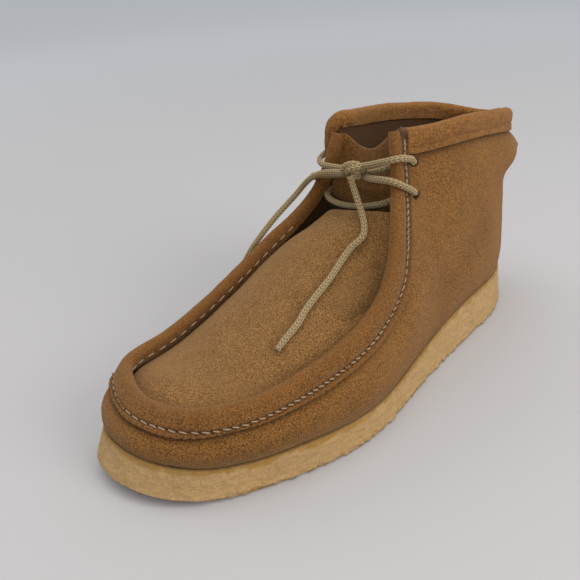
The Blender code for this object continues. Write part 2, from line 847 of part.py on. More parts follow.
def fold_over(wall, frame, section, outer_width, inner_width):
    """Rows of a strip folded over an edge of the wall."""
    corners = []
    for fold in section:
        width = outer_width if fold.out > -WALL else inner_width
        down = width * fold.down if fold.down > 0.0 else np.full_like(width, fold.down)
        corners.append(wall.laid_at(frame, down, fold.out))
    return np.stack(corners, axis=1)


def build_roll(wall, material):
    """The rolled strip over the wall's edge, from the outer throat top round the toe."""
    places = seam_places(wall)
    stop = seam_reach(wall, False, ROLL_STOP_INNER)
    places = np.append(places[places < stop - 1.0], stop)
    frame = wall.seam_frame(places)
    table = Spline([row.place for row in ROLL_WIDTHS], [row[2:] for row in ROLL_WIDTHS])
    lip, inner_leg = table.at(sections_from_tip(wall, places)).T
    lines = fold_over(wall, frame, ROLL_SECTION, lip, inner_leg)
    return strip_object("moccasin_roll", lines, material)


def binding_frame(wall):
    """The collar's frame, with its front ends slanted to lie along the throat's edges."""
    start = wall.seam_start
    end = wall.seam_end - wall.turn
    fine = np.linspace(start, end, CURVE_SAMPLES)
    length = chord_knots(wall.top_line(fine))
    columns = wall.columns(STEPS_PER_SECTION)
    columns = np.sort(np.where(columns > wall.seam_end, columns - wall.turn, columns))
    between = np.interp(columns[(columns < start) & (columns > end)], fine[::-1], length[::-1])
    reach = np.sort(between)
    first = BINDING_SETBACK_OUTER
    last = length[-1] - BINDING_SETBACK_INNER
    reach = np.concatenate([[first], reach[(reach > first + 1) & (reach < last - 1)], [last]])
    places = np.interp(reach, length, fine)
    edge, down, outward = wall.collar_frame(places)
    for corner, chord, distance in ((wall.seam_start, BINDING_SLANT_CHORD, reach),
                                    (wall.seam_end, -BINDING_SLANT_CHORD, length[-1] - reach)):
        slant = unit(wall.seam.at(corner + chord) - wall.seam.at(corner))
        weight = (1.0 - smoothstep(distance / BINDING_SLANT_REACH))[:, None]
        down = unit(down * (1.0 - weight) + slant * weight)
    from_inner = (length[-1] - reach) / BINDING_TAPER_REACH
    height = BINDING_HEIGHT_INNER_END + (BINDING_HEIGHT - BINDING_HEIGHT_INNER_END) \
        * smoothstep(from_inner)
    return (edge, down, outward), height


def build_binding(wall, material):
    """The folded suede strip over the collar, lower where it ends above the inner roll."""
    frame, height = binding_frame(wall)
    lines = fold_over(wall, frame, BINDING_SECTION, height, height)
    return strip_object("collar_binding", lines, material)


def build_apron(wall, material):
    """The suede plate over the toes and instep, free of the roll at the throat."""
    table = Spline([row.step for row in APRON_ROWS], [row[2:] for row in APRON_ROWS])
    steps = np.linspace(0.0, APRON_ROWS[-1].step, APRON_STEPS_ALONG + 1)
    outer_sections, inner_sections, rise, outer_gap, inner_gap = table.at(steps).T
    outer_places = paired_places(wall, outer_sections)[0]
    inner_places = paired_places(wall, inner_sections)[1]
    outer = wall.laid(wall.seam_frame(outer_places), APRON_EDGE_DOWN, APRON_EDGE_OUT)
    inner = wall.laid(wall.seam_frame(inner_places), APRON_EDGE_DOWN, APRON_EDGE_OUT)
    width = inner - outer
    span = np.maximum(np.linalg.norm(width, axis=1), 0.001)
    toward = width / span[:, None]
    outer = outer + toward * np.minimum(outer_gap, span / 3)[:, None]
    inner = inner - toward * np.minimum(inner_gap, span / 3)[:, None]
    spine = np.gradient((outer + inner) / 2, axis=0)
    spine[0] = spine[1]
    lift = unit(np.cross(spine, outer[-1] - inner[-1]))
    lift = lift * np.sign(lift[:, 2:])
    lines = []
    for across in np.linspace(0.0, 1.0, APRON_STEPS_ACROSS + 1):
        flat = outer * (1.0 - across) + inner * across
        lines.append(flat + lift * (rise * bow_out(across, APRON_DOME_POWER))[:, None])
    bm = bmesh.new()
    loft(bm, lines, closed=False)
    bmesh.ops.remove_doubles(bm, verts=bm.verts[:], dist=MERGE_DISTANCE)
    turn_towards(bm, Vector((0.0, -0.5, 1.0)))
    item = new_object("apron", bm, material)
    solidify(item, APRON_WALL)
    return item


def build_tongue(wall, material):
    """The gusseted tongue: sewn inside both throat edges, bulging towards the laces."""
    table = Spline([row.place for row in TONGUE_ROWS], [row[2:] for row in TONGUE_ROWS])
    sections = np.linspace(TONGUE_ROWS[0].place, TONGUE_ROWS[-1].place, TONGUE_STEPS_ALONG + 1)
    outer_back, outer_depth, inner_back, inner_depth, bulge, dip = table.at(sections).T
    outer_places, inner_places = paired_places(wall, sections)
    outer_frame = wall.seam_frame(outer_places)
    inner_frame = wall.seam_frame(inner_places)
    outer_side = []
    inner_side = []
    towards_top = smoothstep((sections - TONGUE_ROWS[-3].place)
                             / (sections[-1] - TONGUE_ROWS[-3].place))
    for fold in TONGUE_GUSSET:
        lowered = paired_places(wall, sections - fold.lower * towards_top)
        for side, places in ((outer_side, lowered[0]), (inner_side, lowered[1])):
            side.append(wall.laid(wall.seam_frame(places), fold.down, fold.out))
    outer, inner = (edge + down * back[:, None] - outward * depth[:, None]
                    for (edge, down, outward), back, depth in (
                        (outer_frame, outer_back, outer_depth),
                        (inner_frame, inner_back, inner_depth)))
    spine = unit(np.gradient((outer + inner) / 2, axis=0))
    forward = unit(np.cross(spine, outer - inner))
    forward = forward * np.sign(-forward[:, 1:2])
    lines = list(outer_side)
    for across in np.linspace(0.0, 1.0, TONGUE_STEPS_ACROSS + 1):
        arch = bow_out(across, 2.0)
        flat = outer * (1.0 - across) + inner * across
        lines.append(flat + forward * (bulge * arch)[:, None] - spine * (dip * arch)[:, None])
    lines += inner_side[::-1]
    bm = bmesh.new()
    loft(bm, lines, closed=False)
    turn_towards(bm, Vector((0.0, -1.0, 0.3)))
    item = new_object("tongue", bm, material)
    solidify(item, TONGUE_WALL)
    return item


def hole_frame(wall, hole):
    """Where a lace hole's axis meets the wall's outer face, and the way out."""
    place = seam_reach(wall, hole.outer, hole.below_top)
    frame = wall.seam_frame(np.array([place]))
    where, up = wall.locate(frame[0] + frame[1] * hole.behind_edge)
    return wall.point(where, up)[0], wall.normal(where, up)[0]


def punch_lace_holes(wall, upper):
    """Cut the lace holes straight through the wall."""
    for hole in LACE_HOLES:
        centre, outward = hole_frame(wall, hole)
        bm = bmesh.new()
        bmesh.ops.create_cone(bm, cap_ends=True, segments=LACE_HOLE_SIDES,
                              radius1=LACE_HOLE_RADIUS, radius2=LACE_HOLE_RADIUS, depth=5 * WALL)
        turn = Vector(outward).to_track_quat("Z", "Y").to_matrix()
        bmesh.ops.rotate(bm, cent=(0, 0, 0), matrix=turn, verts=bm.verts[:])
        bmesh.ops.translate(bm, vec=centre, verts=bm.verts[:])
        cutter = new_object("punch, " + hole.name, bm, upper.data.materials[0])
        cutter.hide_render = True
        cutter.display_type = "WIRE"
        cut = upper.modifiers.new("punched " + hole.name, "BOOLEAN")
        cut.operation = "DIFFERENCE"
        cut.solver = "EXACT"
        cut.object = cutter


def along_route(route, step):
    """Points at even steps along a smooth curve through a cord's own points."""
    curve = Spline(chord_knots(route), route)
    fine = np.linspace(curve.knots[0], curve.knots[-1], ROUTE_SAMPLES * len(route))
    length = chord_knots(curve.at(fine))
    count = max(2, round(length[-1] / step))
    return curve.at(np.interp(np.linspace(0.0, length[-1], count + 1), length, fine))


def cord_curve(name, route, step, material):
    """A round cord with flat ends along a route."""
    curve = bpy.data.curves.new(name, "CURVE")
    curve.dimensions = "3D"
    curve.bevel_depth = LACE_RADIUS * MM
    curve.bevel_resolution = CORD_RESOLUTION
    curve.use_fill_caps = True
    points = along_route(route, step)
    line = curve.splines.new("POLY")
    line.points.add(len(points) - 1)
    for spot, point in zip(line.points, points):
        spot.co = (*(point * MM), 1.0)
    curve.materials.append(material)
    item = bpy.data.objects.new(name, curve)
    bpy.context.scene.collection.objects.link(item)
    return item


def cord_mesh(name, route, step, material):
    """A cord made a mesh, so that it can be joined with another."""
    curve = cord_curve(name + ", route", route, step, material)
    mesh = bpy.data.meshes.new_from_object(curve)
    mesh.name = name
    bpy.data.objects.remove(curve, do_unlink=True)
    item = bpy.data.objects.new(name, mesh)
    bpy.context.scene.collection.objects.link(item)
    return item


def build_laces(material):
    """The crossings as joined solids, and the free ends as cords."""
    cord_curve("lace_lower_bar", LOWER_BAR, BAR_STEP, material)
    crossing = cord_mesh("lace_crossing", CROSS_FROM_OUTER_HOLE, BAR_STEP, material)
    other = cord_mesh("crossing, other strand", CROSS_FROM_INNER_HOLE, BAR_STEP, material)
    other.hide_render = True
    other.display_type = "WIRE"
    join = crossing.modifiers.new("joined where they cross", "BOOLEAN")
    join.operation = "UNION"
    join.solver = "EXACT"
    join.object = other
    cord_curve("lace_upper_bar_outer", UPPER_BAR_OUTER, BAR_STEP, material)
    cord_curve("lace_upper_bar_inner", UPPER_BAR_INNER, BAR_STEP, material)
    cord_curve("lace_tail_long", LONG_TAIL, TAIL_STEP, material)
    cord_curve("lace_tail_inner", INNER_TAIL, TAIL_STEP, material)
    build_knot(material)


def build_knot(material):
    """The tied knot: a soft round lump between the bars."""
    bm = bmesh.new()
    bmesh.ops.create_uvsphere(bm, u_segments=KNOT_SIDES, v_segments=KNOT_SIDES // 2, radius=1.0)
    bmesh.ops.scale(bm, vec=KNOT_SIZE, verts=bm.verts[:])
    bmesh.ops.translate(bm, vec=KNOT_CENTRE, verts=bm.verts[:])
    return new_object("lace_knot", bm, material, smooth_angle=60.0)


def main():
    """Build the boot."""
    for item in list(bpy.data.objects):
        bpy.data.objects.remove(item, do_unlink=True)
    suede = make_material("tan suede", (0.26, 0.135, 0.055), 0.95)
    crepe = make_material("cream crepe", (0.46, 0.30, 0.13), 0.8)
    lining = make_material("brown lining leather", (0.10, 0.055, 0.03), 0.6)
    cotton = make_material("braided cord", (0.36, 0.29, 0.18), 0.9)
    wall = Wall()
    build_outsole(wall, crepe)
    build_insole(wall, lining)
    upper = build_upper(wall, suede)
    punch_lace_holes(wall, upper)
    build_apron(wall, suede)
    build_tongue(wall, suede)
    build_roll(wall, suede)
    build_binding(wall, suede)
    build_laces(cotton)


main()
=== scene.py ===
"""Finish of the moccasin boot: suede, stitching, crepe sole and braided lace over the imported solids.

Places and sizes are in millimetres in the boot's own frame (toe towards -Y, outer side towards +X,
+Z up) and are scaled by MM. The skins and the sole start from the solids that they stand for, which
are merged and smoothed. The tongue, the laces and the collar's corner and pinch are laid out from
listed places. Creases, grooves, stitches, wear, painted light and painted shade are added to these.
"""

import json
import math
import random
from typing import NamedTuple

import bmesh
import bpy
import numpy as np
from bpy.props import FloatProperty, FloatVectorProperty, IntProperty, PointerProperty
from mathutils import Matrix, Vector, noise
from mathutils.bvhtree import BVHTree

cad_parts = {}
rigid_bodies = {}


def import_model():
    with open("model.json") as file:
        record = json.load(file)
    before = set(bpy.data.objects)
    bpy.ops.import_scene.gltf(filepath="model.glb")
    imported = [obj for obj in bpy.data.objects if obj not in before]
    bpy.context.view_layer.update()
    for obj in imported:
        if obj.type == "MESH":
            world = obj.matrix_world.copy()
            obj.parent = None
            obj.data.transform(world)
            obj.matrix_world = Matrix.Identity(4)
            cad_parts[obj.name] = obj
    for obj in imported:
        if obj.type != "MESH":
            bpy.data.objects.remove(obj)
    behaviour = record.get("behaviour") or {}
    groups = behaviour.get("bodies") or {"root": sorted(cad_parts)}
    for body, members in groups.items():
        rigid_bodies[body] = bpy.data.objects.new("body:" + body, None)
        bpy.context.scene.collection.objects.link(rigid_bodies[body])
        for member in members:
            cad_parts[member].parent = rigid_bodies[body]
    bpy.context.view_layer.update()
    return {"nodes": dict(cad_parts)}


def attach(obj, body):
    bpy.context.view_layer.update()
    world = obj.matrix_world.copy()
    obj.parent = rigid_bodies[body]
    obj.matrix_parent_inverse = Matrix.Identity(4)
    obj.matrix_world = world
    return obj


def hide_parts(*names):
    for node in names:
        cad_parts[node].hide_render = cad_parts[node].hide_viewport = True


bl_info = {
    "name": "Moccasin boot finish",
    "version": (1, 0, 0),
    "blender": (4, 5, 0),
    "location": "View3D > Sidebar > Boot",
    "description": "Suede, stitching, crepe and lace for a moccasin boot",
    "category": "Object",
}

MM = 0.001
MERGE_DISTANCE = 0.01
QUAD_FACE_ANGLE = math.radians(60)
QUAD_SHAPE_ANGLE = math.radians(70)

for leftover in list(bpy.data.objects):
    bpy.data.objects.remove(leftover, do_unlink=True)
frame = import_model()


# Camera and stage


class Look(NamedTuple):
    """Where the camera stands: angles in degrees, distances in millimetres."""

    azimuth: float
    elevation: float
    roll: float
    distance: float
    target: tuple
    lens: float


CAMERA = Look(51.7, 27.94, -4.21, 361.23, (-29.88, -17.61, 48.11), 38.27)


class Lamp(NamedTuple):
    """A soft box: where it stands, what it looks at, its size and its power."""

    name: str
    place: tuple
    aim: tuple
    size: float
    power: float
    colour: tuple


LAMPS = (
    Lamp("overhead softbox", (150, -150, 1500), (0, 0, 40), 1300, 9.4, (1.0, 0.98, 0.95)),
    Lamp("window, right", (1350, 350, 800), (0, 0, 60), 1100, 15.0, (1.0, 0.985, 0.96)),
    Lamp("wall, left", (-1300, -900, 900), (0, 0, 60), 1200, 4.0, (0.95, 0.97, 1.0)),
)

FLOOR_HALF_SIZE = 12.0
# Floor tones: cooler away from the boot, and paler there as painted light
FLOOR_NEAR = (0.435, 0.424, 0.422)
FLOOR_FAR = (0.58, 0.60, 0.62)
FLOOR_FADE = (0.3, 2.2)
SKY_COLOUR = (0.95, 0.965, 1.0, 1.0)
SKY_STRENGTH = 0.74
CLIP_START = 0.01


# Lace: listed routes from hole to hole, then the braid's own sizes

LACE_RADIUS = 1.8
LOWER_BAR = (
    (20.6, 24.6, 106.8),
    (19.0, 19.0, 105.4),
    (15.4, 15.0, 103.6),
    (12.0, 13.4, 102.2),
    (8.5, 13.2, 101.0),
    (2.0, 13.3, 98.8),
    (-6.0, 13.2, 96.9),
    (-14.0, 13.0, 95.8),
    (-21.0, 13.0, 95.8),
    (-26.6, 13.4, 96.8),
    (-30.0, 15.0, 98.4),
    (-31.4, 19.0, 99.6),
    (-32.0, 25.0, 100.0),
)
CROSS_FROM_OUTER_HOLE = (
    (24.4, 26.2, 107.8),
    (26.4, 23.2, 109.4),
    (28.4, 19.8, 111.4),
    (29.5, 16.2, 113.6),
    (29.6, 12.3, 115.9),
    (28.2, 8.9, 118.0),
    (25.3, 7.0, 119.1),
    (21.0, 6.8, 118.9),
    (14.5, 7.9, 117.8),
    (8.6, 9.4, 116.8),
    (2.0, 12.2, 115.8),
    (-5.0, 15.4, 115.0),
    (-11.0, 17.8, 114.4),
    (-16.5, 18.6, 113.7),
    (-21.5, 18.8, 113.4),
    (-26.4, 18.8, 113.6),
    (-29.8, 21.0, 114.8),
    (-30.6, 26.0, 117.0),
    (-30.2, 31.0, 119.2),
)
CROSS_FROM_INNER_HOLE = (
    (-37.8, 24.4, 100.4),
    (-38.8, 21.4, 102.2),
    (-39.8, 18.2, 104.2),
    (-39.8, 15.2, 106.2),
    (-38.6, 12.4, 108.0),
    (-35.2, 10.3, 109.4),
    (-29.5, 10.2, 110.6),
    (-20.0, 12.6, 112.2),
    (-8.0, 16.0, 114.4),
    (0.0, 16.8, 116.0),
    (7.0, 16.4, 118.4),
    (11.6, 17.4, 120.2),
    (14.2, 21.4, 121.4),
    (16.3, 25.0, 122.4),
    (18.0, 27.9, 122.7),
)
UPPER_BAR_OUTER = (
    (22.2, 27.4, 123.4),
    (24.0, 24.4, 124.9),
    (25.7, 21.6, 126.8),
    (26.4, 17.6, 128.3),
    (25.9, 13.5, 129.2),
    (23.7, 10.4, 128.9),
    (19.8, 8.9, 127.6),
    (14.5, 8.7, 125.8),
    (10.0, 8.8, 124.2),
    (4.6, 8.9, 122.6),
)
UPPER_BAR_INNER = (
    (-36.5, 33.7, 120.5),
    (-38.2, 29.6, 120.6),
    (-38.9, 25.4, 119.8),
    (-38.7, 21.2, 118.3),
    (-37.4, 17.2, 117.1),
    (-33.9, 14.2, 116.3),
    (-28.8, 12.4, 116.1),
    (-20.0, 11.6, 116.8),
    (-12.0, 10.8, 117.8),
    (-6.2, 10.4, 118.8),
)
LONG_TAIL = (
    (-0.2, 3.9, 117.6),
    (1.0, 4.2, 114.2),
    (3.2, 4.1, 109.6),
    (6.4, 3.3, 104.6),
    (10.2, 2.0, 99.6),
    (13.8, -0.3, 95.8),
    (16.0, -2.7, 92.6),
    (16.4, -4.9, 90.4),
    (15.4, -7.4, 88.4),
    (14.2, -10.0, 86.4),
    (13.4, -13.6, 83.2),
    (13.4, -18.2, 79.6),
    (14.2, -26.4, 74.0),
    (15.6, -39.3, 67.8),
    (16.9, -46.1, 64.6),
    (19.1, -52.8, 61.4),
    (20.4, -61.3, 57.9),
    (21.9, -69.5, 54.6),
)
INNER_TAIL = (
    (-5.6, 5.0, 118.0),
    (-12.0, 5.6, 116.8),
    (-17.8, 5.8, 115.7),
    (-24.0, 5.8, 114.0),
    (-30.0, 5.6, 111.2),
    (-35.5, 6.0, 107.6),
    (-39.4, 5.2, 103.8),
    (-42.2, 2.0, 99.0),
    (-44.6, -2.5, 94.2),
    (-46.8, -8.4, 89.0),
    (-49.0, -14.4, 83.0),
    (-51.0, -20.0, 77.0),
    (-53.4, -26.0, 69.5),
    (-55.2, -30.6, 61.5),
    (-56.4, -34.0, 53.0),
)
KNOT_OVER = (
    (4.6, 8.9, 122.6),
    (3.4, 5.6, 122.4),
    (0.6, 3.6, 121.6),
    (-2.2, 4.2, 119.7),
    (-3.6, 6.7, 117.6),
    (-2.5, 9.7, 116.4),
    (0.2, 10.8, 116.2),
    (1.6, 8.7, 116.5),
    (0.8, 5.8, 116.8),
    (-0.2, 3.9, 117.6),
)
KNOT_UNDER = (
    (-6.2, 10.4, 118.8),
    (-4.0, 12.2, 118.0),
    (-0.2, 12.7, 117.9),
    (3.0, 11.4, 119.2),
    (4.2, 9.0, 121.3),
    (2.7, 6.3, 123.6),
    (-0.3, 4.4, 123.7),
    (-3.5, 3.5, 122.0),
    (-5.0, 3.9, 119.4),
    (-5.6, 5.0, 118.0),
)
FREE_ENDS = ("lace_tail_long", "lace_tail_inner")
BRAID_COLUMNS = 8
BRAID_PITCH = 2.1
BRAID_STEP = 0.4
BRAID_DEPTH = 0.42
BRAID_LEAN = 0.9
LACE_CROWN_RADIUS = 1.78
LACE_RING_RESOLUTION = 22
CROWN_ALONG_POWER = 0.8
CROWN_ACROSS_POWER = 0.4
CROWN_FADE = (0.15, 0.9)
LACE_TIP = 1.6
LACE_TAPER = 9.0
LACE_TIP_SHARE = 0.82
# Dark lenses in the mouths of the lace holes: painted shade
LACE_HOLE_RADIUS = 1.8
LACE_HOLE_LONG_WAY = (0.0, 0.4, 1.0)
LACE_HOLE_SHADES = (
    ((22.7, 28.9, 123.0), (0.96, -0.24, 0.1)),
    ((26.0, 26.9, 106.9), (0.97, -0.06, 0.24)),
    ((-34.6, 34.6, 121.6), (-0.97, -0.2, 0.11)),
    ((-35.5, 26.6, 102.4), (-0.96, -0.24, 0.15)),
)


# Leather: where the seam, the creases, the collar strip and the tongue lie


class SeamSection(NamedTuple):
    """One place on the rolled seam: the wall's foot, its top edge and how far the strip hangs."""

    name: str
    foot_x: float
    foot_y: float
    top_x: float
    top_y: float
    top_z: float
    lip: float


FOOT_HEIGHT = 22.0
SEAM = (
    SeamSection("throat top, outer", 36.7, 45, 17.5, 19.3, 140, 7.0),
    SeamSection("throat, outer", 39.3, 32, 24.5, 13.5, 117.5, 8.8),
    SeamSection("throat foot, outer", 43, 16, 32.5, 4, 95, 11.5),
    SeamSection("instep, outer", 48.5, -6, 38.5, -7.5, 73, 12.0),
    SeamSection("vamp, outer", 54.1, -36, 43.5, -35, 57, 11.0),
    SeamSection("ball, outer", 50.5, -70, 42, -69, 48.5, 10.0),
    SeamSection("toe side, outer", 41, -103, 36.5, -96.5, 45, 10.0),
    SeamSection("toe corner, outer", 30, -127, 26.5, -117.5, 45, 10.0),
    SeamSection("toe front, outer", 10.5, -145.5, 10, -127, 43.5, 10.0),
    SeamSection("toe tip", -9, -151.5, -8, -130.5, 43, 10.0),
    SeamSection("toe front, inner", -27, -149.2, -26, -127, 43.5, 10.0),
    SeamSection("toe corner, inner", -44, -132, -39, -117.5, 44, 10.0),
    SeamSection("toe side, inner", -49.7, -103, -43.5, -97.5, 44, 10.0),
    SeamSection("ball, inner", -52, -70, -46, -70, 50.5, 10.0),
    SeamSection("vamp, inner", -50.3, -36, -46.5, -39.5, 63.5, 11.0),
    SeamSection("instep, inner", -45.5, -6, -43.5, -12.5, 79, 12.0),
    SeamSection("throat foot, inner", -42.6, 16, -38, 6.5, 92.5, 11.5),
    SeamSection("throat, inner", -41.6, 32, -31.8, 18.5, 113.5, 8.8),
    SeamSection("throat top, inner", -41.6, 45, -30, 26.5, 140, 7.0),
)


class Crease(NamedTuple):
    """A soft trough (or a ridge, if its depth is negative) bowed through three places."""

    name: str
    start: tuple
    middle: tuple
    end: tuple
    half_width: float
    depth: float


SIDE_SEAM = ((-49.4, -14, 66), (-51.6, -12, 46), (-49.6, -11, 24))
SIDE_STITCH_PERIOD = 3.4
SIDE_STITCH_LENGTH = 2.4
UPPER_CREASES = (
    Crease("instep fold, outer", (50, -20, 52), (46, 12, 70), (38, 40, 92), 7.0, 1.2),
    Crease("quarter hollow", (44, 30, 45), (40, 60, 62), (33, 92, 80), 12.0, 1.5),
    Crease("ball pinch, outer", (56, -60, 24), (57, -44, 34), (55, -28, 42), 5.0, 0.7),
    Crease("toe wall dimple", (36, -116, 22), (46, -100, 28), (52, -80, 30), 6.0, 0.6),
    Crease("side seam, inner", *SIDE_SEAM, 1.3, 0.8),
    Crease("heel swell, outer", (36, 96, 102), (20, 131, 101), (-8, 146, 100), 5.6, -2.0),
    Crease("heel swell, inner", (2, 146, 100), (-31, 132, 100), (-42, 96, 101), 6.5, -0.8),
)
APRON_CREASES = (
    Crease("flex hollow, outer", (24, -40, 62), (31, -16, 66), (32, 0, 78), 7.0, 2.4),
    Crease("flex fold, outer", (10, -34, 70), (22, -16, 72), (31, -3, 74), 5.0, 1.5),
    Crease("flex fold, middle", (4, -22, 79), (13, -13, 79), (21, -3, 84), 6.0, 0.6),
    Crease("toe box flat", (-20, -104, 55), (0, -96, 57), (20, -90, 54), 16.0, 0.8),
    Crease("flex crease", (-30, -50, 66), (-4, -44, 70), (22, -52, 64), 5.0, 0.5),
)
TONGUE_CREASES = (
    Crease("tongue fold, upper", (-20, 24, 112), (-4, 22, 108), (10, 22, 110), 2.6, 0.9),
    Crease("tongue fold, lower", (-18, 22, 103), (-2, 20, 101), (10, 21, 103), 2.2, 0.7),
)
BINDING_END = (18.0, 27.5, 140.6)
BINDING_END_FACING = (-0.25, -0.97, 0.05)
CORNER_ROUTE = (
    (-29.6, 36.4, 138.0, 3.8),
    (-29.8, 31.8, 138.4, 4.6),
    (-31.0, 28.2, 138.0, 4.6),
    (-32.8, 25.2, 135.8, 4.2),
    (-34.4, 23.8, 132.6, 3.5),
    (-35.0, 23.0, 128.0, 2.8),
    (-35.0, 22.6, 123.0, 2.6),
    (-34.8, 22.4, 118.6, 2.3),
)
CORNER_STEP = 0.8
CORNER_RING_RESOLUTION = 10
COLLAR_CENTRE = (-7.0, 80.0)
RIM_TURNS = 121
RIM_HALF_TURN = 0.06
BINDING_SEAM_FALL = 9.4
BINDING_GROOVE_HALF_WIDTH = 0.7
BINDING_GROOVE_DEPTH = 0.4
BINDING_FRINGE_FADE = (9.9, 11.4)
BINDING_CLOSE = 2.0
BINDING_CLOSE_REACH = 7.0
BINDING_NARROWER = 0.2
BINDING_NARROW_FADE = (-10.0, -20.0)
PINCH_PLACE = (19.0, 21.9, 139.0)
PINCH_SIZE = (2.7, 3.9, 2.5)
PINCH_SUBDIVISIONS = 5
TONGUE_THICKNESS = 1.6
TONGUE_ROWS = 12
TONGUE_POINTS_ACROSS = 16
TONGUE_COLUMNS = (
    ((-26.8, 24.6, 132.0), (-28.2, 22.6, 118.0), (-29.8, 17.9, 104.0), (-29.6, 17.0, 92.0)),
    ((-24.0, 26.2, 131.2), (-25.0, 23.8, 117.0), (-26.4, 17.7, 103.5), (-25.0, 16.8, 92.0)),
    ((-20.8, 27.0, 128.8), (-20.8, 24.4, 116.0), (-20.6, 18.4, 102.5), (-19.5, 16.6, 92.0)),
    ((-16.6, 27.0, 126.6), (-15.0, 24.0, 114.0), (-14.0, 19.4, 102.0), (-13.0, 16.2, 92.0)),
    ((-10.3, 26.0, 126.0), (-9.0, 23.4, 114.0), (-8.0, 20.0, 102.0), (-7.0, 16.0, 92.0)),
    ((-4.2, 25.0, 126.6), (-3.0, 23.0, 114.0), (-2.0, 19.8, 102.0), (-1.0, 16.0, 92.0)),
    ((1.5, 23.9, 129.8), (3.0, 23.0, 116.0), (4.0, 20.4, 103.0), (5.0, 16.6, 92.0)),
    ((8.9, 22.0, 135.0), (9.6, 23.6, 118.0), (10.6, 21.6, 104.0), (12.0, 18.0, 92.0)),
    ((13.4, 22.4, 137.0), (14.6, 25.0, 119.0), (16.4, 23.4, 105.0), (18.0, 20.0, 92.0)),
)


CREASE_STEP = 6.0
CREASE_END_SHARE = 0.25
CREASE_SHOULDER_SHARE = 0.2


class Lumps(NamedTuple):
    """Soft unevenness of a skin or of its colour: its height, its width and its own number."""

    height: float
    width: float
    number: int


LUMP_OCTAVES = 3
UPPER_LUMPS = Lumps(0.35, 22.0, 1)
UPPER_WEAR = Lumps(0.5, 30.0, 4)
APRON_LUMPS = Lumps(0.3, 18.0, 2)
APRON_WEAR = Lumps(0.6, 34.0, 5)
TONGUE_LUMPS = Lumps(0.4, 14.0, 3)
ROLL_LUMPS = Lumps(0.3, 12.0, 6)
BINDING_LUMPS = Lumps(0.45, 13.0, 7)
BINDING_WEAR_AND_LIGHT = Lumps(0.4, 20.0, 8)
BINDING_MOTTLE = Lumps(1.0, 3.0, 42)
FRINGE_LUMPS = Lumps(0.35, 1.6, 41)
FRINGE_WEAR = Lumps(0.5, 1.3, 43)
CORNER_LUMPS = Lumps(0.35, 5.0, 21)
CORNER_SHADE = Lumps(2.0, 2.2, 22)
CORNER_WEAR = Lumps(2.0, 1.6, 23)
PINCH_LUMPS = Lumps(0.8, 2.4, 31)
CREPE_WAVES = Lumps(1.0, 5.0, 9)
CREPE_CRUMBS = Lumps(1.0, 2.2, 10)
GLUE_SMEAR = Lumps(2.0, 7.0, 11)
GLUE_PATCHES = Lumps(0.4, 3.0, 13)
GROUND_GRIT = Lumps(1.0, 2.0, 12)


# Shared helpers

CURVE_PARTS = 24
FINE_STEP = 0.1
TINY = 1e-9


def fade(values, start, end):
    """Ease from 0 at the start to 1 at the end; a name that ends in FADE holds these two."""
    share = np.clip((values - start) / (end - start), 0.0, 1.0)
    return share * share * (3.0 - 2.0 * share)


def hump(values, middle, half_width, power=2):
    """One at the middle, falling away to 0 on both sides."""
    return np.exp(-((values - middle) / half_width) ** power)


def unit(vectors):
    """Vectors scaled to length one."""
    return vectors / np.maximum(np.linalg.norm(vectors, axis=-1, keepdims=True), TINY)


def smooth_path(points, step):
    """Points at even steps on a smooth curve through given points."""
    points = np.asarray(points, dtype=float)
    padded = np.vstack([2 * points[0] - points[1], points, 2 * points[-1] - points[-2]])
    fine = []
    for index in range(1, len(padded) - 2):
        before, here, ahead, after = padded[index - 1:index + 3]
        part = np.linspace(0.0, 1.0, CURVE_PARTS, endpoint=False)[:, None]
        fine.append(0.5 * (2 * here + (ahead - before) * part
                           + (2 * before - 5 * here + 4 * ahead - after) * part**2
                           + (3 * here - before - 3 * ahead + after) * part**3))
    fine = np.vstack(fine + [points[-1:]])
    length = np.concatenate([[0.0], np.cumsum(np.linalg.norm(np.diff(fine, axis=0), axis=1))])
    count = max(2, round(length[-1] / step))
    even = np.linspace(0.0, length[-1], count + 1)
    return np.stack([np.interp(even, length, fine[:, axis]) for axis in range(fine.shape[1])],
                    axis=1)


def even_points(points, count):
    """That many points, evenly spaced on a smooth curve through given points."""
    fine = smooth_path(points, FINE_STEP)
    picks = np.linspace(0, len(fine) - 1, count)
    return np.stack([np.interp(picks, np.arange(len(fine)), fine[:, axis])
                     for axis in range(fine.shape[1])], axis=1)


def slab(grid, thickness):
    """A sheet of leather: the grid is its front, its back lies a thickness behind."""
    down, across = np.gradient(grid, axis=0), np.gradient(grid, axis=1)
    back = grid + unit(np.cross(down, across)) * thickness
    if np.mean((back - grid)[..., 1]) < 0.0:
        back = 2.0 * grid - back
    bm = bmesh.new()
    sheets = [[[bm.verts.new(point) for point in row] for row in side] for side in (grid, back)]
    for sheet in sheets:
        for upper, lower in zip(sheet, sheet[1:]):
            for index in range(len(upper) - 1):
                bm.faces.new((upper[index], upper[index + 1], lower[index + 1], lower[index]))
    edges = [edge for edge in bm.edges if edge.is_boundary]
    bmesh.ops.bridge_loops(bm, edges=edges)
    bmesh.ops.recalc_face_normals(bm, faces=bm.faces[:])
    return bm


def node_copy(node):
    """A merged copy of a solid, in millimetres, with its triangles paired up into quads."""
    bm = bmesh.new()
    bm.from_mesh(frame["nodes"][node].data)
    bmesh.ops.remove_doubles(bm, verts=bm.verts[:], dist=MERGE_DISTANCE * MM)
    bmesh.ops.join_triangles(bm, faces=bm.faces[:], angle_face_threshold=QUAD_FACE_ANGLE,
                             angle_shape_threshold=QUAD_SHAPE_ANGLE)
    bmesh.ops.scale(bm, vec=(1 / MM, 1 / MM, 1 / MM), verts=bm.verts[:])
    return bm


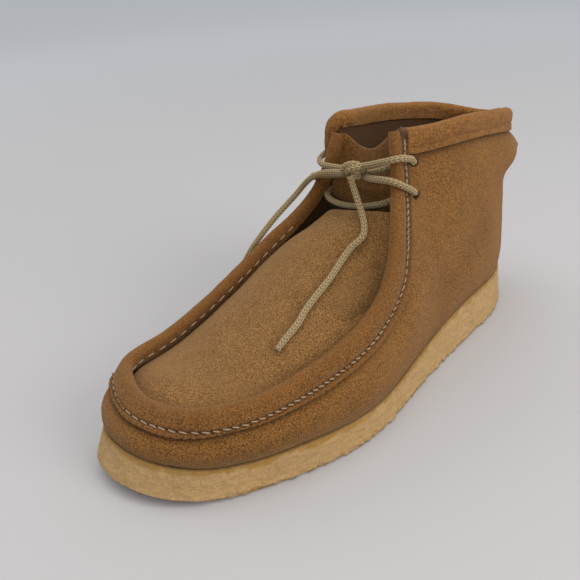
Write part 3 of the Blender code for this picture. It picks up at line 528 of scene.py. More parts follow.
def hold_edges(bm, degrees, sharpness):
    """Keep the edges that turn more than an angle crisp when the skin is smoothed."""
    layer = bm.edges.layers.float.get("crease_edge") or bm.edges.layers.float.new("crease_edge")
    for edge in bm.edges:
        if edge.is_manifold and edge.calc_face_angle(0.0) > math.radians(degrees):
            edge[layer] = sharpness


def cut_long_edges(bm, longest, cuts):
    """Divide the edges that are longer than a length."""
    long_edges = [edge for edge in bm.edges if edge.calc_length() > longest]
    bmesh.ops.subdivide_edges(bm, edges=long_edges, cuts=cuts, use_grid_fill=True)


def smoothed(bm, levels):
    """The bmesh after that many levels of subdivision surface."""
    cage = bpy.data.meshes.new("cage")
    bm.to_mesh(cage)
    bm.free()
    holder = bpy.data.objects.new("cage", cage)
    bpy.context.scene.collection.objects.link(holder)
    surface = holder.modifiers.new("smooth", "SUBSURF")
    surface.levels = levels
    surface.render_levels = levels
    seen = holder.evaluated_get(bpy.context.evaluated_depsgraph_get())
    mesh = bpy.data.meshes.new_from_object(seen)
    bpy.data.objects.remove(holder)
    bpy.data.meshes.remove(cage)
    return mesh


def skin_of(node, degrees, sharpness, levels):
    """A solid's skin, smoothed, with the edges that turn more than an angle kept crisp."""
    bm = node_copy(node)
    hold_edges(bm, degrees, sharpness)
    return smoothed(bm, levels)


def read_points(mesh):
    """The mesh's vertices and their normals, as arrays."""
    points = np.zeros(len(mesh.vertices) * 3)
    normals = np.zeros(len(mesh.vertices) * 3)
    mesh.vertices.foreach_get("co", points)
    mesh.vertices.foreach_get("normal", normals)
    return points.reshape(-1, 3), normals.reshape(-1, 3)


def write_points(mesh, points):
    """Move the mesh's vertices."""
    mesh.vertices.foreach_set("co", points.ravel())
    mesh.update()


def write_mask(mesh, name, values):
    """Store a number for each vertex, for the materials to read."""
    layer = mesh.attributes.get(name) or mesh.attributes.new(name, "FLOAT", "POINT")
    layer.data.foreach_set("value", np.asarray(values, dtype=np.float32))


def lumps(points, kind):
    """Soft noise at each point, from about minus the kind's height to its height."""
    shift = Vector((kind.number * 17.3, kind.number * 5.1, kind.number * 9.7))
    return kind.height * np.array([
        noise.fractal(Vector(point) / kind.width + shift, 0.8, 2.0, LUMP_OCTAVES)
        for point in points])


def near_path(points, path):
    """Distance from each point to a path, and how far along it that is, from 0 to 1."""
    best = np.full(len(points), np.inf)
    along = np.zeros(len(points))
    last = len(path) - 1
    for index, (start, end) in enumerate(zip(path, path[1:])):
        span = end - start
        share = np.clip((points - start) @ span / max(span @ span, TINY), 0.0, 1.0)
        away = np.linalg.norm(points - start - share[:, None] * span, axis=1)
        closer = away < best
        best[closer] = away[closer]
        along[closer] = (index + share[closer]) / last
    return best, along


def crease(points, normals, creases):
    """Press each crease into the skin; returns the points and how deep each lies."""
    depth = np.zeros(len(points))
    for fold in creases:
        path = smooth_path([fold.start, fold.middle, fold.end], CREASE_STEP)
        away, along = near_path(points, path)
        ends = fade(along, 0.0, CREASE_END_SHARE) * fade(1.0 - along, 0.0, CREASE_END_SHARE)
        trough = hump(away, 0.0, fold.half_width)
        shoulder = hump(away, 2.0 * fold.half_width, fold.half_width)
        depth += fold.depth * ends * (trough - CREASE_SHOULDER_SHARE * shoulder)
    return points - normals * depth[:, None], depth


def finish(name, mesh, material, node, smooth_angle=60.0):
    """A finished piece: back to metres, smooth, riding where its solid was."""
    mesh.name = name
    mesh.transform(Matrix.Scale(MM, 4))
    mesh.shade_smooth()
    mesh.set_sharp_from_angle(angle=math.radians(smooth_angle))
    mesh.materials.clear()
    mesh.materials.append(material)
    piece = bpy.data.objects.new(name, mesh)
    bpy.context.scene.collection.objects.link(piece)
    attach(piece, "root")
    if node:
        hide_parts(*([node] if isinstance(node, str) else node))
    return piece


def skin_tree(*names):
    """A search tree over solids or finished pieces, in millimetres."""
    points = []
    faces = []
    for name in names:
        mesh = bpy.data.objects[name].data
        start = len(points)
        points += [vert.co / MM for vert in mesh.vertices]
        faces += [[start + index for index in face.vertices] for face in mesh.polygons]
    return BVHTree.FromPolygons(points, faces)


class SewnPart(NamedTuple):
    """How the seam is sewn at one share of its length."""

    share: float
    period: float
    length: float
    slant: float
    from_lip: float
    channel: float
    flange: float


SEWING_TO_TOE = (
    SewnPart(0.0, 3.0, 2.5, 14.0, 5.0, 3.3, 1.2),
    SewnPart(0.12, 3.2, 2.6, 14.0, 4.8, 3.1, 1.2),
    SewnPart(0.19, 3.5, 2.7, 20.0, 3.7, 1.7, 1.2),
    SewnPart(0.34, 3.2, 2.5, 26.0, 3.8, 1.4, 1.4),
    SewnPart(0.42, 4.4, 3.4, 12.0, 3.6, 1.1, 1.4),
    SewnPart(0.5, 5.1, 3.9, 4.0, 3.6, 1.1, 1.4),
)
SEWING = SEWING_TO_TOE + tuple(
    row._replace(share=round(1.0 - row.share, 2), slant=-row.slant)
    for row in SEWING_TO_TOE[-2::-1])
GATHER_PERIOD = 3.4
FROM_OUTSIDE = 16.0
FROM_INSIDE = -14.0
RAY_REACH = 40.0


def sewn(share, part):
    """One figure of the sewing, at shares of the seam's length."""
    return np.interp(share, [row.share for row in SEWING],
                     [getattr(row, part) for row in SEWING])


class SeamLine:
    """Evenly spaced places along the rolled seam, from the outer throat round to the inner."""

    def __init__(self, step):
        rows = np.array([row[1:] for row in SEAM])
        path = smooth_path(rows, 0.5)
        length = np.concatenate([[0.0], np.cumsum(
            np.linalg.norm(np.diff(path[:, 2:5], axis=0), axis=1))])
        self.length = length[-1]
        count = max(2, round(self.length / step))
        self.reach = np.linspace(0.0, self.length, count + 1)
        path = np.stack([np.interp(self.reach, length, path[:, column]) for column in range(6)],
                        axis=1)
        foot = np.column_stack([path[:, :2], np.full(len(path), FOOT_HEIGHT)])
        self.edge = path[:, 2:5]
        self.lip = path[:, 5]
        self.along = unit(np.gradient(self.edge, axis=0))
        self.outward = unit(np.cross(self.edge - foot, self.along))
        self.down = unit(np.cross(self.outward, self.along))
        if np.mean(self.down[:, 2]) > 0.0:
            self.down = -self.down

    def read(self, points):
        """How far along the seam each point lies, how far below the edge and how far out."""
        share = near_path(points, self.edge)[1]
        reach = share * self.length
        parts = []
        for table in (self.edge, self.down, self.outward):
            parts.append(np.stack([np.interp(reach, self.reach, table[:, axis])
                                   for axis in range(3)], axis=1))
        away = points - parts[0]
        return reach, np.sum(away * parts[1], axis=1), np.sum(away * parts[2], axis=1)

    def touch(self, tree, reach, fall, start):
        """Where a ray from outside (start > 0) or inside meets the skin, with the normal."""
        index = int(np.clip(round(reach / self.length * (len(self.reach) - 1)), 0,
                            len(self.reach) - 1))
        origin = self.edge[index] + self.down[index] * fall + self.outward[index] * start
        toward = Vector(-self.outward[index] * math.copysign(1.0, start))
        return tree.ray_cast(Vector(origin), toward, RAY_REACH)[:2]


# Materials

PATCH_SCALE = 42.0
GRAIN_SCALE = 1600.0
COTTON_FIBRE_SCALE = 2600.0
CREPE_STREAK_SCALE = 95.0
CREPE_BLOTCH_SCALE = 60.0
CREPE_CRUMB_SCALE = 620.0
LINING_COLOUR = (0.06, 0.026, 0.009)
# The pinch's dark tones are painted shade in the gathered corner
PINCH_SHADE_TONES = ((0.045, 0.020, 0.010), (0.065, 0.030, 0.015), (0.095, 0.046, 0.024))
SOCK_TONES = ((0.05, 0.026, 0.012), (0.07, 0.036, 0.017), (0.09, 0.05, 0.024))
# Tones of the dark lenses that paint the shade in the needle's holes and in the lace holes
HOLE_SHADE_TONES = ((0.022, 0.011, 0.005), (0.028, 0.014, 0.006), (0.034, 0.018, 0.008))
GLUE_AMBER = (0.30, 0.155, 0.022)
# Grit at the ground, and the painted shade along the joint with the wall
GRIT_AND_JOINT_SHADE = (0.09, 0.055, 0.028)


def add_node(tree, kind, place, **values):
    """A node at a place, with its settings."""
    node = tree.nodes.new(kind)
    node.location = place
    for key, value in values.items():
        setattr(node, key, value)
    return node


def toned(colour, share):
    """A colour made darker or paler."""
    return tuple(share * part for part in colour)


def link(tree, source, target):
    """Join two sockets."""
    tree.links.new(source, target)


def mix_colours(tree, place, factor, first, second, blend="MIX"):
    """A colour mix; each part is a socket or a plain value."""
    node = add_node(tree, "ShaderNodeMix", place, data_type="RGBA", blend_type=blend)
    for socket, value in zip((node.inputs[0], node.inputs[6], node.inputs[7]),
                             (factor, first, second)):
        if isinstance(value, bpy.types.NodeSocket):
            link(tree, value, socket)
        elif isinstance(value, tuple):
            socket.default_value = (*value, 1.0)[:4]
        else:
            socket.default_value = value
    return node.outputs[2]


def arithmetic(tree, place, operation, *values):
    """A number worked out from sockets or plain values."""
    node = add_node(tree, "ShaderNodeMath", place, operation=operation)
    for socket, value in zip(node.inputs, values):
        if isinstance(value, bpy.types.NodeSocket):
            link(tree, value, socket)
        else:
            socket.default_value = value
    return node.outputs[0]


def ramp(tree, place, source, stops):
    """A colour ramp through (position, grey) stops."""
    node = add_node(tree, "ShaderNodeValToRGB", place)
    line = node.color_ramp
    for index, (position, grey) in enumerate(stops):
        stop = line.elements[index] if index < 2 else line.elements.new(position)
        stop.position = position
        stop.color = (grey, grey, grey, 1.0)
    link(tree, source, node.inputs[0])
    return node.outputs[0]


def noise_value(tree, place, vector, scale, detail, roughness, distortion=0.0):
    """Noise read at a vector."""
    node = add_node(tree, "ShaderNodeTexNoise", place)
    node.inputs["Detail"].default_value = detail
    node.inputs["Roughness"].default_value = roughness
    node.inputs["Distortion"].default_value = distortion
    if isinstance(scale, bpy.types.NodeSocket):
        link(tree, scale, node.inputs["Scale"])
    else:
        node.inputs["Scale"].default_value = scale
    link(tree, vector, node.inputs["Vector"])
    return node.outputs["Fac"]


def nap_group():
    """Suede's brushed nap: broad patches, brush marks, fibre grain and the height of both."""
    found = bpy.data.node_groups.get("Suede nap")
    if found:
        return found
    tree = bpy.data.node_groups.new("Suede nap", "ShaderNodeTree")
    tree.interface.new_socket("Vector", in_out="INPUT", socket_type="NodeSocketVector")
    for label, value in (("Patch Scale", PATCH_SCALE), ("Grain Scale", GRAIN_SCALE)):
        socket = tree.interface.new_socket(label, in_out="INPUT", socket_type="NodeSocketFloat")
        socket.default_value = value
    for label in ("Patches", "Brushed", "Grain", "Height", "Tips"):
        tree.interface.new_socket(label, in_out="OUTPUT", socket_type="NodeSocketFloat")
    enter = add_node(tree, "NodeGroupInput", (-900, 0))
    leave = add_node(tree, "NodeGroupOutput", (700, 0))
    vector = enter.outputs["Vector"]
    patches = noise_value(tree, (-500, 300), vector, enter.outputs["Patch Scale"], 4.0, 0.6)
    brush_scale = arithmetic(tree, (-700, 100), "MULTIPLY", enter.outputs["Patch Scale"], 4.5)
    brushed = noise_value(tree, (-500, 60), vector, brush_scale, 5.0, 0.65, 0.6)
    grain = noise_value(tree, (-500, -200), vector, enter.outputs["Grain Scale"], 3.0, 0.7)
    fibre_scale = arithmetic(tree, (-700, -400), "MULTIPLY", enter.outputs["Grain Scale"], 2.6)
    fibre = noise_value(tree, (-500, -440), vector, fibre_scale, 2.0, 0.6)
    height = arithmetic(tree, (-100, -300), "ADD", grain,
                        arithmetic(tree, (-300, -440), "MULTIPLY", fibre, 0.5))
    link(tree, ramp(tree, (0, 300), patches, ((0.32, 0.0), (0.68, 1.0))), leave.inputs[0])
    link(tree, ramp(tree, (0, 60), brushed, ((0.3, 0.0), (0.7, 1.0))), leave.inputs[1])
    link(tree, ramp(tree, (0, -180), grain, ((0.43, 0.0), (0.64, 1.0))), leave.inputs[2])
    link(tree, height, leave.inputs[3])
    tip_scale = arithmetic(tree, (-700, -600), "MULTIPLY", enter.outputs["Grain Scale"], 0.9)
    tips = noise_value(tree, (-500, -640), vector, tip_scale, 2.0, 0.6)
    link(tree, ramp(tree, (0, -600), tips, ((0.52, 0.0), (0.66, 1.0))), leave.inputs[4])
    return tree


def new_material(name):
    """A material with its shader, and the piece's own coordinates."""
    material = bpy.data.materials.new(name)
    material.use_nodes = True
    tree = material.node_tree
    shader = tree.nodes["Principled BSDF"]
    shader.location = (900, 0)
    tree.nodes["Material Output"].location = (1200, 0)
    coordinates = add_node(tree, "ShaderNodeTexCoord", (-1200, 0)).outputs["Object"]
    return material, tree, shader, coordinates


def read_mask(tree, place, name):
    """A number stored on the piece's vertices."""
    return add_node(tree, "ShaderNodeAttribute", place, attribute_name=name).outputs["Fac"]


def bump(tree, place, height, strength, distance, shader):
    """Raise the surface by a height."""
    node = add_node(tree, "ShaderNodeBump", place)
    node.inputs["Strength"].default_value = strength
    node.inputs["Distance"].default_value = distance
    link(tree, height, node.inputs["Height"])
    link(tree, node.outputs["Normal"], shader.inputs["Normal"])


def suede_material(name, dark, middle, light, grain_depth=0.28):
    """Brushed suede: its nap's patches and grain, painted shade in folds, paler with wear and painted
    light.
    """
    material, tree, shader, coordinates = new_material(name)
    nap = add_node(tree, "ShaderNodeGroup", (-900, 0), node_tree=nap_group())
    link(tree, coordinates, nap.inputs["Vector"])
    base = mix_colours(tree, (-500, 200), nap.outputs["Patches"], dark, light)
    base = mix_colours(tree, (-300, 200), 0.5, base, middle)
    tuft = mix_colours(tree, (-500, -60), nap.outputs["Brushed"], (0.91, 0.9, 0.89),
                       (1.08, 1.08, 1.07))
    base = mix_colours(tree, (-100, 200), 1.0, base, tuft, "MULTIPLY")
    low = 1.0 - 0.6 * grain_depth
    high = 1.0 + 1.9 * grain_depth
    grain = mix_colours(tree, (-500, -260), nap.outputs["Grain"], (low, low, low * 0.96),
                        (high, high * 0.98, high * 0.9))
    base = mix_colours(tree, (100, 200), 1.0, base, grain, "MULTIPLY")
    speck = arithmetic(tree, (100, -120), "MULTIPLY", nap.outputs["Tips"], 0.72)
    base = mix_colours(tree, (200, 200), speck, base, toned(light, 2.1))
    # Paler for wear and for painted light, from the piece's mask
    rubbed = mix_colours(tree, (300, 200), read_mask(tree, (0, 460), "rubbed"), base,
                         toned(light, 1.25))
    # Painted shade from the piece's shade mask, with random mottling on the collar strip
    shade = mix_colours(tree, (500, 200), read_mask(tree, (200, 460), "shade"), rubbed,
                        toned(dark, 0.32))
    lined = mix_colours(tree, (700, 200), read_mask(tree, (400, 460), "lining"), shade,
                        LINING_COLOUR)
    link(tree, lined, shader.inputs["Base Color"])
    shader.inputs["Roughness"].default_value = 0.95
    shader.inputs["Specular IOR Level"].default_value = 0.18
    shader.inputs["Sheen Weight"].default_value = 0.25
    shader.inputs["Sheen Roughness"].default_value = 0.45
    shader.inputs["Sheen Tint"].default_value = (0.9, 0.62, 0.36, 1.0)
    bump(tree, (600, -300), nap.outputs["Height"], 0.6, 0.9 * MM, shader)
    return material


def crepe_material(name, body, amber, dirt_and_shade):
    """Crepe rubber: streaked cream sides, amber glue and painted shade at the joint, grit at the
    ground.
    """
    material, tree, shader, coordinates = new_material(name)
    stretch = add_node(tree, "ShaderNodeMapping", (-1000, 200))
    stretch.inputs["Scale"].default_value = (1.0, 1.0, 3.6)
    link(tree, coordinates, stretch.inputs["Vector"])
    streaks = noise_value(tree, (-700, 300), stretch.outputs[0], CREPE_STREAK_SCALE, 6.0, 0.7,
                          0.8)
    blotch = noise_value(tree, (-700, 60), coordinates, CREPE_BLOTCH_SCALE, 4.0, 0.6)
    crumb = noise_value(tree, (-700, -200), coordinates, CREPE_CRUMB_SCALE, 4.0, 0.75)
    colour = mix_colours(tree, (-300, 300), ramp(tree, (-500, 300), streaks,
                                                 ((0.3, 0.0), (0.7, 1.0))),
                         toned(body, 0.84), toned(body, 1.16))
    colour = mix_colours(tree, (-100, 300),
                         ramp(tree, (-500, 60), blotch, ((0.48, 0.0), (0.85, 0.4))), colour, amber)
    grit = mix_colours(tree, (-300, -200), ramp(tree, (-500, -200), crumb,
                                                ((0.3, 0.0), (0.7, 1.0))),
                       (0.8, 0.79, 0.76), (1.16, 1.16, 1.16))
    colour = mix_colours(tree, (100, 300), 1.0, colour, grit, "MULTIPLY")
    colour = mix_colours(tree, (300, 300), read_mask(tree, (100, 560), "glue"), colour, amber)
    colour = mix_colours(tree, (500, 300), read_mask(tree, (300, 560), "shade"), colour, dirt_and_shade)
    link(tree, colour, shader.inputs["Base Color"])
    shader.inputs["Roughness"].default_value = 0.72
    shader.inputs["Specular IOR Level"].default_value = 0.35
    height = arithmetic(tree, (300, -300), "ADD", crumb,
                        arithmetic(tree, (100, -400), "MULTIPLY", streaks, 1.4))
    bump(tree, (600, -300), height, 0.7, 0.9 * MM, shader)
    return material


def braid_material(name, light, dark):
    """Twisted cotton: pale on the strands' crowns, with painted shade between them."""
    material, tree, shader, coordinates = new_material(name)
    fibre = noise_value(tree, (-700, 0), coordinates, COTTON_FIBRE_SCALE, 3.0, 0.7)
    soil = noise_value(tree, (-700, -260), coordinates, 90.0, 3.0, 0.6)
    colour = mix_colours(tree, (-300, 200), read_mask(tree, (-500, 300), "crown"), dark, light)
    colour = mix_colours(tree, (-100, 200), arithmetic(tree, (-300, -100), "MULTIPLY", soil, 0.35),
                         colour, toned(light, 0.7))
    tone = mix_colours(tree, (-100, -100), fibre, (0.72, 0.72, 0.72), (1.28, 1.28, 1.28))
    colour = mix_colours(tree, (200, 200), 1.0, colour, tone, "MULTIPLY")
    link(tree, colour, shader.inputs["Base Color"])
    shader.inputs["Roughness"].default_value = 0.9
    shader.inputs["Specular IOR Level"].default_value = 0.2
    shader.inputs["Sheen Weight"].default_value = 0.15
    bump(tree, (600, -300), fibre, 0.4, 0.2 * MM, shader)
    return material


def stage_material(name, near, far):
    """A plain pale surface, a little cooler away from the boot, and paler there as painted light."""
    material, tree, shader, coordinates = new_material(name)
    away = add_node(tree, "ShaderNodeVectorMath", (-700, 0), operation="LENGTH")
    link(tree, coordinates, away.inputs[0])
    share = add_node(tree, "ShaderNodeMapRange", (-500, 0), interpolation_type="SMOOTHSTEP")
    share.inputs["From Min"].default_value = FLOOR_FADE[0]
    share.inputs["From Max"].default_value = FLOOR_FADE[1]
    link(tree, away.outputs["Value"], share.inputs["Value"])
    tone = mix_colours(tree, (0, 0), share.outputs["Result"], near, far)
    link(tree, tone, shader.inputs["Base Color"])
    shader.inputs["Roughness"].default_value = 0.8
    return material


# What a user may change


class BOOT_PG_sizes(bpy.types.PropertyGroup):
    """Sizes of the finish."""

    skin_levels: IntProperty(name="Skin levels", description="Smoothing of the leather skins",
                             default=3, min=1, max=3)
    nap: FloatProperty(name="Nap", description="How strongly the suede's grain shows",
                       default=0.8, min=0.0, max=1.0, subtype="FACTOR")
    thread: FloatProperty(name="Thread", description="Radius of the sewing thread",
                          default=0.38 * MM, min=0.1 * MM, max=1.0 * MM, precision=5,
                          subtype="DISTANCE", unit="LENGTH")


class BOOT_PG_colours(bpy.types.PropertyGroup):
    """Colours of the finish."""

    apron: FloatVectorProperty(name="Apron", description="Middle tone of the apron", size=3,
                               default=(0.152, 0.0757, 0.0236), subtype="COLOR")
    quarters: FloatVectorProperty(name="Quarters", description="Middle tone of the wall", size=3,
                                  default=(0.130, 0.0562, 0.0132), subtype="COLOR")
    roll: FloatVectorProperty(name="Roll", description="Middle tone of the strips", size=3,
                              default=(0.118, 0.0495, 0.0118), subtype="COLOR")
    crepe: FloatVectorProperty(name="Crepe", description="Body of the crepe sole", size=3,
                               default=(0.405, 0.253, 0.104), subtype="COLOR")
    lace: FloatVectorProperty(name="Lace", description="Crowns of the lace's strands", size=3,
                              default=(0.43, 0.308, 0.15), subtype="COLOR")
    thread: FloatVectorProperty(name="Thread", description="The seam's thread", size=3,
                                default=(0.34, 0.24, 0.145), subtype="COLOR")


def sizes():
    """The scene's sizes."""
    return bpy.context.scene.boot_sizes


def colours():
    """The scene's colours."""
    return bpy.context.scene.boot_colours


# Stage


class BOOT_OT_stage(bpy.types.Operator):
    """Floor, lights and camera"""

    bl_idname = "boot.stage"
    bl_label = "Stage"

    def execute(self, context):
        """Build the stage."""
        bm = bmesh.new()
        bmesh.ops.create_grid(bm, x_segments=1, y_segments=1, size=FLOOR_HALF_SIZE)
        mesh = bpy.data.meshes.new("floor")
        bm.to_mesh(mesh)
        bm.free()
        mesh.materials.append(stage_material("pale floor", FLOOR_NEAR, FLOOR_FAR))
        floor = bpy.data.objects.new("floor", mesh)
        context.scene.collection.objects.link(floor)
        for lamp in LAMPS:
            light = bpy.data.lights.new(lamp.name, "AREA")
            light.shape = "DISK"
            light.size = lamp.size * MM
            light.energy = lamp.power
            light.color = lamp.colour
            holder = bpy.data.objects.new(lamp.name, light)
            holder.location = Vector(lamp.place) * MM
            aim = Vector(lamp.aim) - Vector(lamp.place)
            holder.rotation_euler = aim.to_track_quat("-Z", "Y").to_euler()
            context.scene.collection.objects.link(holder)
        world = bpy.data.worlds.new("soft room")
        world.use_nodes = True
        sky = world.node_tree.nodes["Background"]
        sky.inputs["Color"].default_value = SKY_COLOUR
        sky.inputs["Strength"].default_value = SKY_STRENGTH
        context.scene.world = world
        context.scene.view_settings.view_transform = "Standard"
        self.aim_camera(context)
        return {"FINISHED"}

    @staticmethod
    def aim_camera(context):
        """Place the camera by its angles."""
        azimuth = math.radians(CAMERA.azimuth)
        elevation = math.radians(CAMERA.elevation)
        back = Vector((math.sin(azimuth) * math.cos(elevation),
                       -math.cos(azimuth) * math.cos(elevation), math.sin(elevation)))
        data = bpy.data.cameras.new("camera")
        data.lens = CAMERA.lens
        data.clip_start = CLIP_START
        camera = bpy.data.objects.new("camera", data)
        level = (-back).to_track_quat("-Z", "Y").to_matrix().to_4x4()
        roll = Matrix.Rotation(math.radians(CAMERA.roll), 4, "Z")
        place = Vector(CAMERA.target) * MM + back * CAMERA.distance * MM
        camera.matrix_world = Matrix.Translation(place) @ level @ roll
        context.scene.collection.objects.link(camera)
        context.scene.camera = camera


# Laces


def tube_mesh(name, path, radius, resolution):
    """A plain tube's mesh along even points, with its ends open, and its number of sides."""
    curve = bpy.data.curves.new(name, "CURVE")
    curve.dimensions = "3D"
    curve.bevel_depth = radius
    curve.bevel_resolution = resolution
    line = curve.splines.new("POLY")
    line.points.add(len(path) - 1)
    for spot, point in zip(line.points, path):
        spot.co = (*point, 1.0)
    holder = bpy.data.objects.new(name, curve)
    bpy.context.scene.collection.objects.link(holder)
    mesh = bpy.data.meshes.new_from_object(holder)
    bpy.data.objects.remove(holder)
    bpy.data.curves.remove(curve)
    sides = len(mesh.vertices) // len(path)
    if sides * len(path) != len(mesh.vertices):
        raise RuntimeError(f"{name}: {len(mesh.vertices)} vertices on {len(path)} rings")
    return mesh, sides


def close_ends(mesh):
    """Close a tube's open ends."""
    bm = bmesh.new()
    bm.from_mesh(mesh)
    bmesh.ops.holes_fill(bm, edges=[edge for edge in bm.edges if edge.is_boundary], sides=0)
    bmesh.ops.recalc_face_normals(bm, faces=bm.faces[:])
    bm.to_mesh(mesh)
    bm.free()


def braided(name, route, material, node):
    """A round braided cord along a route: columns of strands that lean to and fro."""
    path = smooth_path(route, BRAID_STEP)
    mesh, sides = tube_mesh(name, path, LACE_RADIUS, LACE_RING_RESOLUTION)
    points = read_points(mesh)[0]
    ring, side = np.divmod(np.arange(len(points)), sides)
    column = side / sides * BRAID_COLUMNS
    across = column % 1.0
    lean = np.where(np.floor(column) % 2 > 0, BRAID_LEAN, -BRAID_LEAN)
    along = ring * BRAID_STEP / BRAID_PITCH + lean * (across - 0.5)
    crown = (np.abs(np.sin(np.pi * along)) ** CROWN_ALONG_POWER
             * np.sin(np.pi * across) ** CROWN_ACROSS_POWER)
    centre = path[ring]
    outward = unit(points - centre)
    radius = LACE_CROWN_RADIUS - BRAID_DEPTH * (1.0 - crown)
    tip = np.ones(len(points))
    if node in FREE_ENDS:
        left = (len(path) - ring) * BRAID_STEP
        tip = fade(left, 0.0, LACE_TIP)
        radius *= LACE_TIP_SHARE + (1.0 - LACE_TIP_SHARE) * fade(left, 0.0, LACE_TAPER)
    write_points(mesh, centre + outward * radius[:, None])
    # Pale crowns, with painted shade between the strands
    write_mask(mesh, "crown", fade(crown, *CROWN_FADE) * tip)
    close_ends(mesh)
    piece = finish(name, mesh, material, node, smooth_angle=80.0)
    return piece, path


class BOOT_OT_laces(bpy.types.Operator):
    """The lace through its four holes, its knot and its two ends"""

    bl_idname = "boot.laces"
    bl_label = "Laces"

    def execute(self, context):
        """Build the laces."""
        # The darker tone is painted shade between the strands
        cotton = braid_material("braided cotton", tuple(colours().lace),
                                toned(colours().lace, 0.16))
        laced = (UPPER_BAR_OUTER[::-1] + CROSS_FROM_INNER_HOLE[::-1] + LOWER_BAR[::-1]
                 + CROSS_FROM_OUTER_HOLE + UPPER_BAR_INNER)
        braided("lace_through_holes", laced, cotton,
                ("lace_upper_bar_outer", "lace_crossing", "lace_lower_bar",
                 "lace_upper_bar_inner"))
        over = braided("lace_knot_over", KNOT_OVER, cotton, "lace_knot")[0]
        under = braided("lace_knot_under", KNOT_UNDER, cotton, None)[0]
        for name, route, node, knot in (("lace_end_long", LONG_TAIL, "lace_tail_long", over),
                                        ("lace_end_inner", INNER_TAIL, "lace_tail_inner", under)):
            piece, path = braided(name, route, cotton, node)
        return {"FINISHED"}


# Leather pieces

DARK_TONE = 0.74
LIGHT_TONES = (1.2, 1.24, 1.34)


def suede_for(name, middle, share=1.0):
    """Suede at one of the boot's colours, with a share of the usual nap."""
    middle = tuple(middle)
    light = tuple(part * tone for part, tone in zip(middle, LIGHT_TONES))
    return suede_material(name, toned(middle, DARK_TONE), middle, light, share * sizes().nap)


STRIP_SHADE_REACH = 8.0
STRIP_SHADE_HALF_WIDTH = 2.4
GROUND_SHADE_TOP = 34.0
HEEL_PAINTED_LIGHT_FADE = (75.0, 120.0)
FOOT_LINE_Y = (-140, -60, 40, 120)
FOOT_LINE_X = (-9, -2, -3, -10)
FOOT_LINE_ENDS = (-110, 95)


class BOOT_OT_upper(bpy.types.Operator):
    """The suede wall and quarters"""

    bl_idname = "boot.upper"
    bl_label = "Upper"

    def execute(self, context):
        """Build the upper."""
        mesh = skin_of("upper", degrees=50, sharpness=0.8, levels=2)
        points, normals = read_points(mesh)
        lining = self.inside(points, normals)
        pressed, depth = crease(points, normals, UPPER_CREASES)
        pressed += normals * lumps(points, UPPER_LUMPS)[:, None]
        points += (pressed - points) * (1.0 - 2.0 * lining)[:, None]
        write_points(mesh, points)
        # Painted shadow under and beside the roll and the collar strip, painted shade in the creases,
        # and darker towards the foot of the wall
        strips = skin_tree("moccasin_roll", "collar_binding")
        away = np.array([strips.find_nearest(Vector(point), STRIP_SHADE_REACH)[3]
                         or STRIP_SHADE_REACH for point in points])
        beside = 0.85 * hump(away, 0.0, STRIP_SHADE_HALF_WIDTH)
        foot = 0.2 * fade(points[:, 2], GROUND_SHADE_TOP, FOOT_HEIGHT)
        write_mask(mesh, "shade", np.clip(beside + foot + 0.1 * depth, 0.0, 1.0))
        write_mask(mesh, "lining", lining)
        # Paler towards the heel as painted light, over random wear
        heel = 0.42 * fade(points[:, 1], *HEEL_PAINTED_LIGHT_FADE)
        write_mask(mesh, "rubbed", np.clip(lumps(points, UPPER_WEAR) + heel, 0.0, 0.5))
        finish("upper_suede", mesh, suede_for("suede, quarters", colours().quarters), "upper")
        return {"FINISHED"}

    @staticmethod
    def inside(points, normals):
        """One where the skin faces the foot."""
        centre = np.column_stack([np.interp(points[:, 1], FOOT_LINE_Y, FOOT_LINE_X),
                                  np.clip(points[:, 1], *FOOT_LINE_ENDS), points[:, 2]])
        return fade(np.sum(unit(centre - points) * normals, axis=1), 0.2, 0.5)


class BOOT_OT_apron(bpy.types.Operator):
    """The suede plate over the toes"""

    bl_idname = "boot.apron"
    bl_label = "Apron"

    def execute(self, context):
        """Build the apron."""
        mesh = skin_of("apron", degrees=60, sharpness=0.7, levels=sizes().skin_levels)
        points, normals = read_points(mesh)
        points, depth = crease(points, normals, APRON_CREASES)
        points += normals * lumps(points, APRON_LUMPS)[:, None]
        write_points(mesh, points)
        # Painted shade in the creases; the paler patches are random wear
        write_mask(mesh, "shade", np.clip(0.12 * depth, 0.0, 1.0))
        write_mask(mesh, "rubbed", np.clip(lumps(points, APRON_WEAR), 0.0, 0.5))
        finish("apron_suede", mesh, suede_for("suede, apron", colours().apron, 0.8), "apron")
        return {"FINISHED"}


TONGUE_SHADE_FADE = (114.0, 92.0)


class BOOT_OT_tongue(bpy.types.Operator):
    """The gusseted tongue"""

    bl_idname = "boot.tongue"
    bl_label = "Tongue"

    def execute(self, context):
        """Build the tongue."""
        columns = [even_points(column, TONGUE_ROWS) for column in TONGUE_COLUMNS]
        grid = np.array([even_points(row, TONGUE_POINTS_ACROSS)
                         for row in np.swapaxes(columns, 0, 1)])
        mesh = smoothed(slab(grid, TONGUE_THICKNESS), sizes().skin_levels)
        points, normals = read_points(mesh)
        points, depth = crease(points, normals, TONGUE_CREASES)
        points += normals * lumps(points, TONGUE_LUMPS)[:, None]
        write_points(mesh, points)
        # Painted shade, deeper low in the throat and in the folds
        low = fade(points[:, 2], *TONGUE_SHADE_FADE)
        write_mask(mesh, "shade", np.clip(0.35 * low + 0.15 * depth, 0.0, 1.0))
        write_mask(mesh, "rubbed", np.zeros(len(points)))
        finish("tongue_suede", mesh, suede_for("suede, tongue", toned(colours().quarters, 0.85)),
               "tongue")
        return {"FINISHED"}


CHANNEL_DEPTH = 0.85
FLANGE_MIDDLE = 0.7
GATHER_LEAN = 0.35
GATHER_SHARE = 0.25
ROLL_SEAM_STEP = 3.0
ROLL_CREST_RISE = 3.5
ROLL_CREST_HALF_WIDTH = 3.0
THROAT_FROM_TOE = (0.34, 0.4)
CHANNEL_SHADE = (0.4, 0.78)


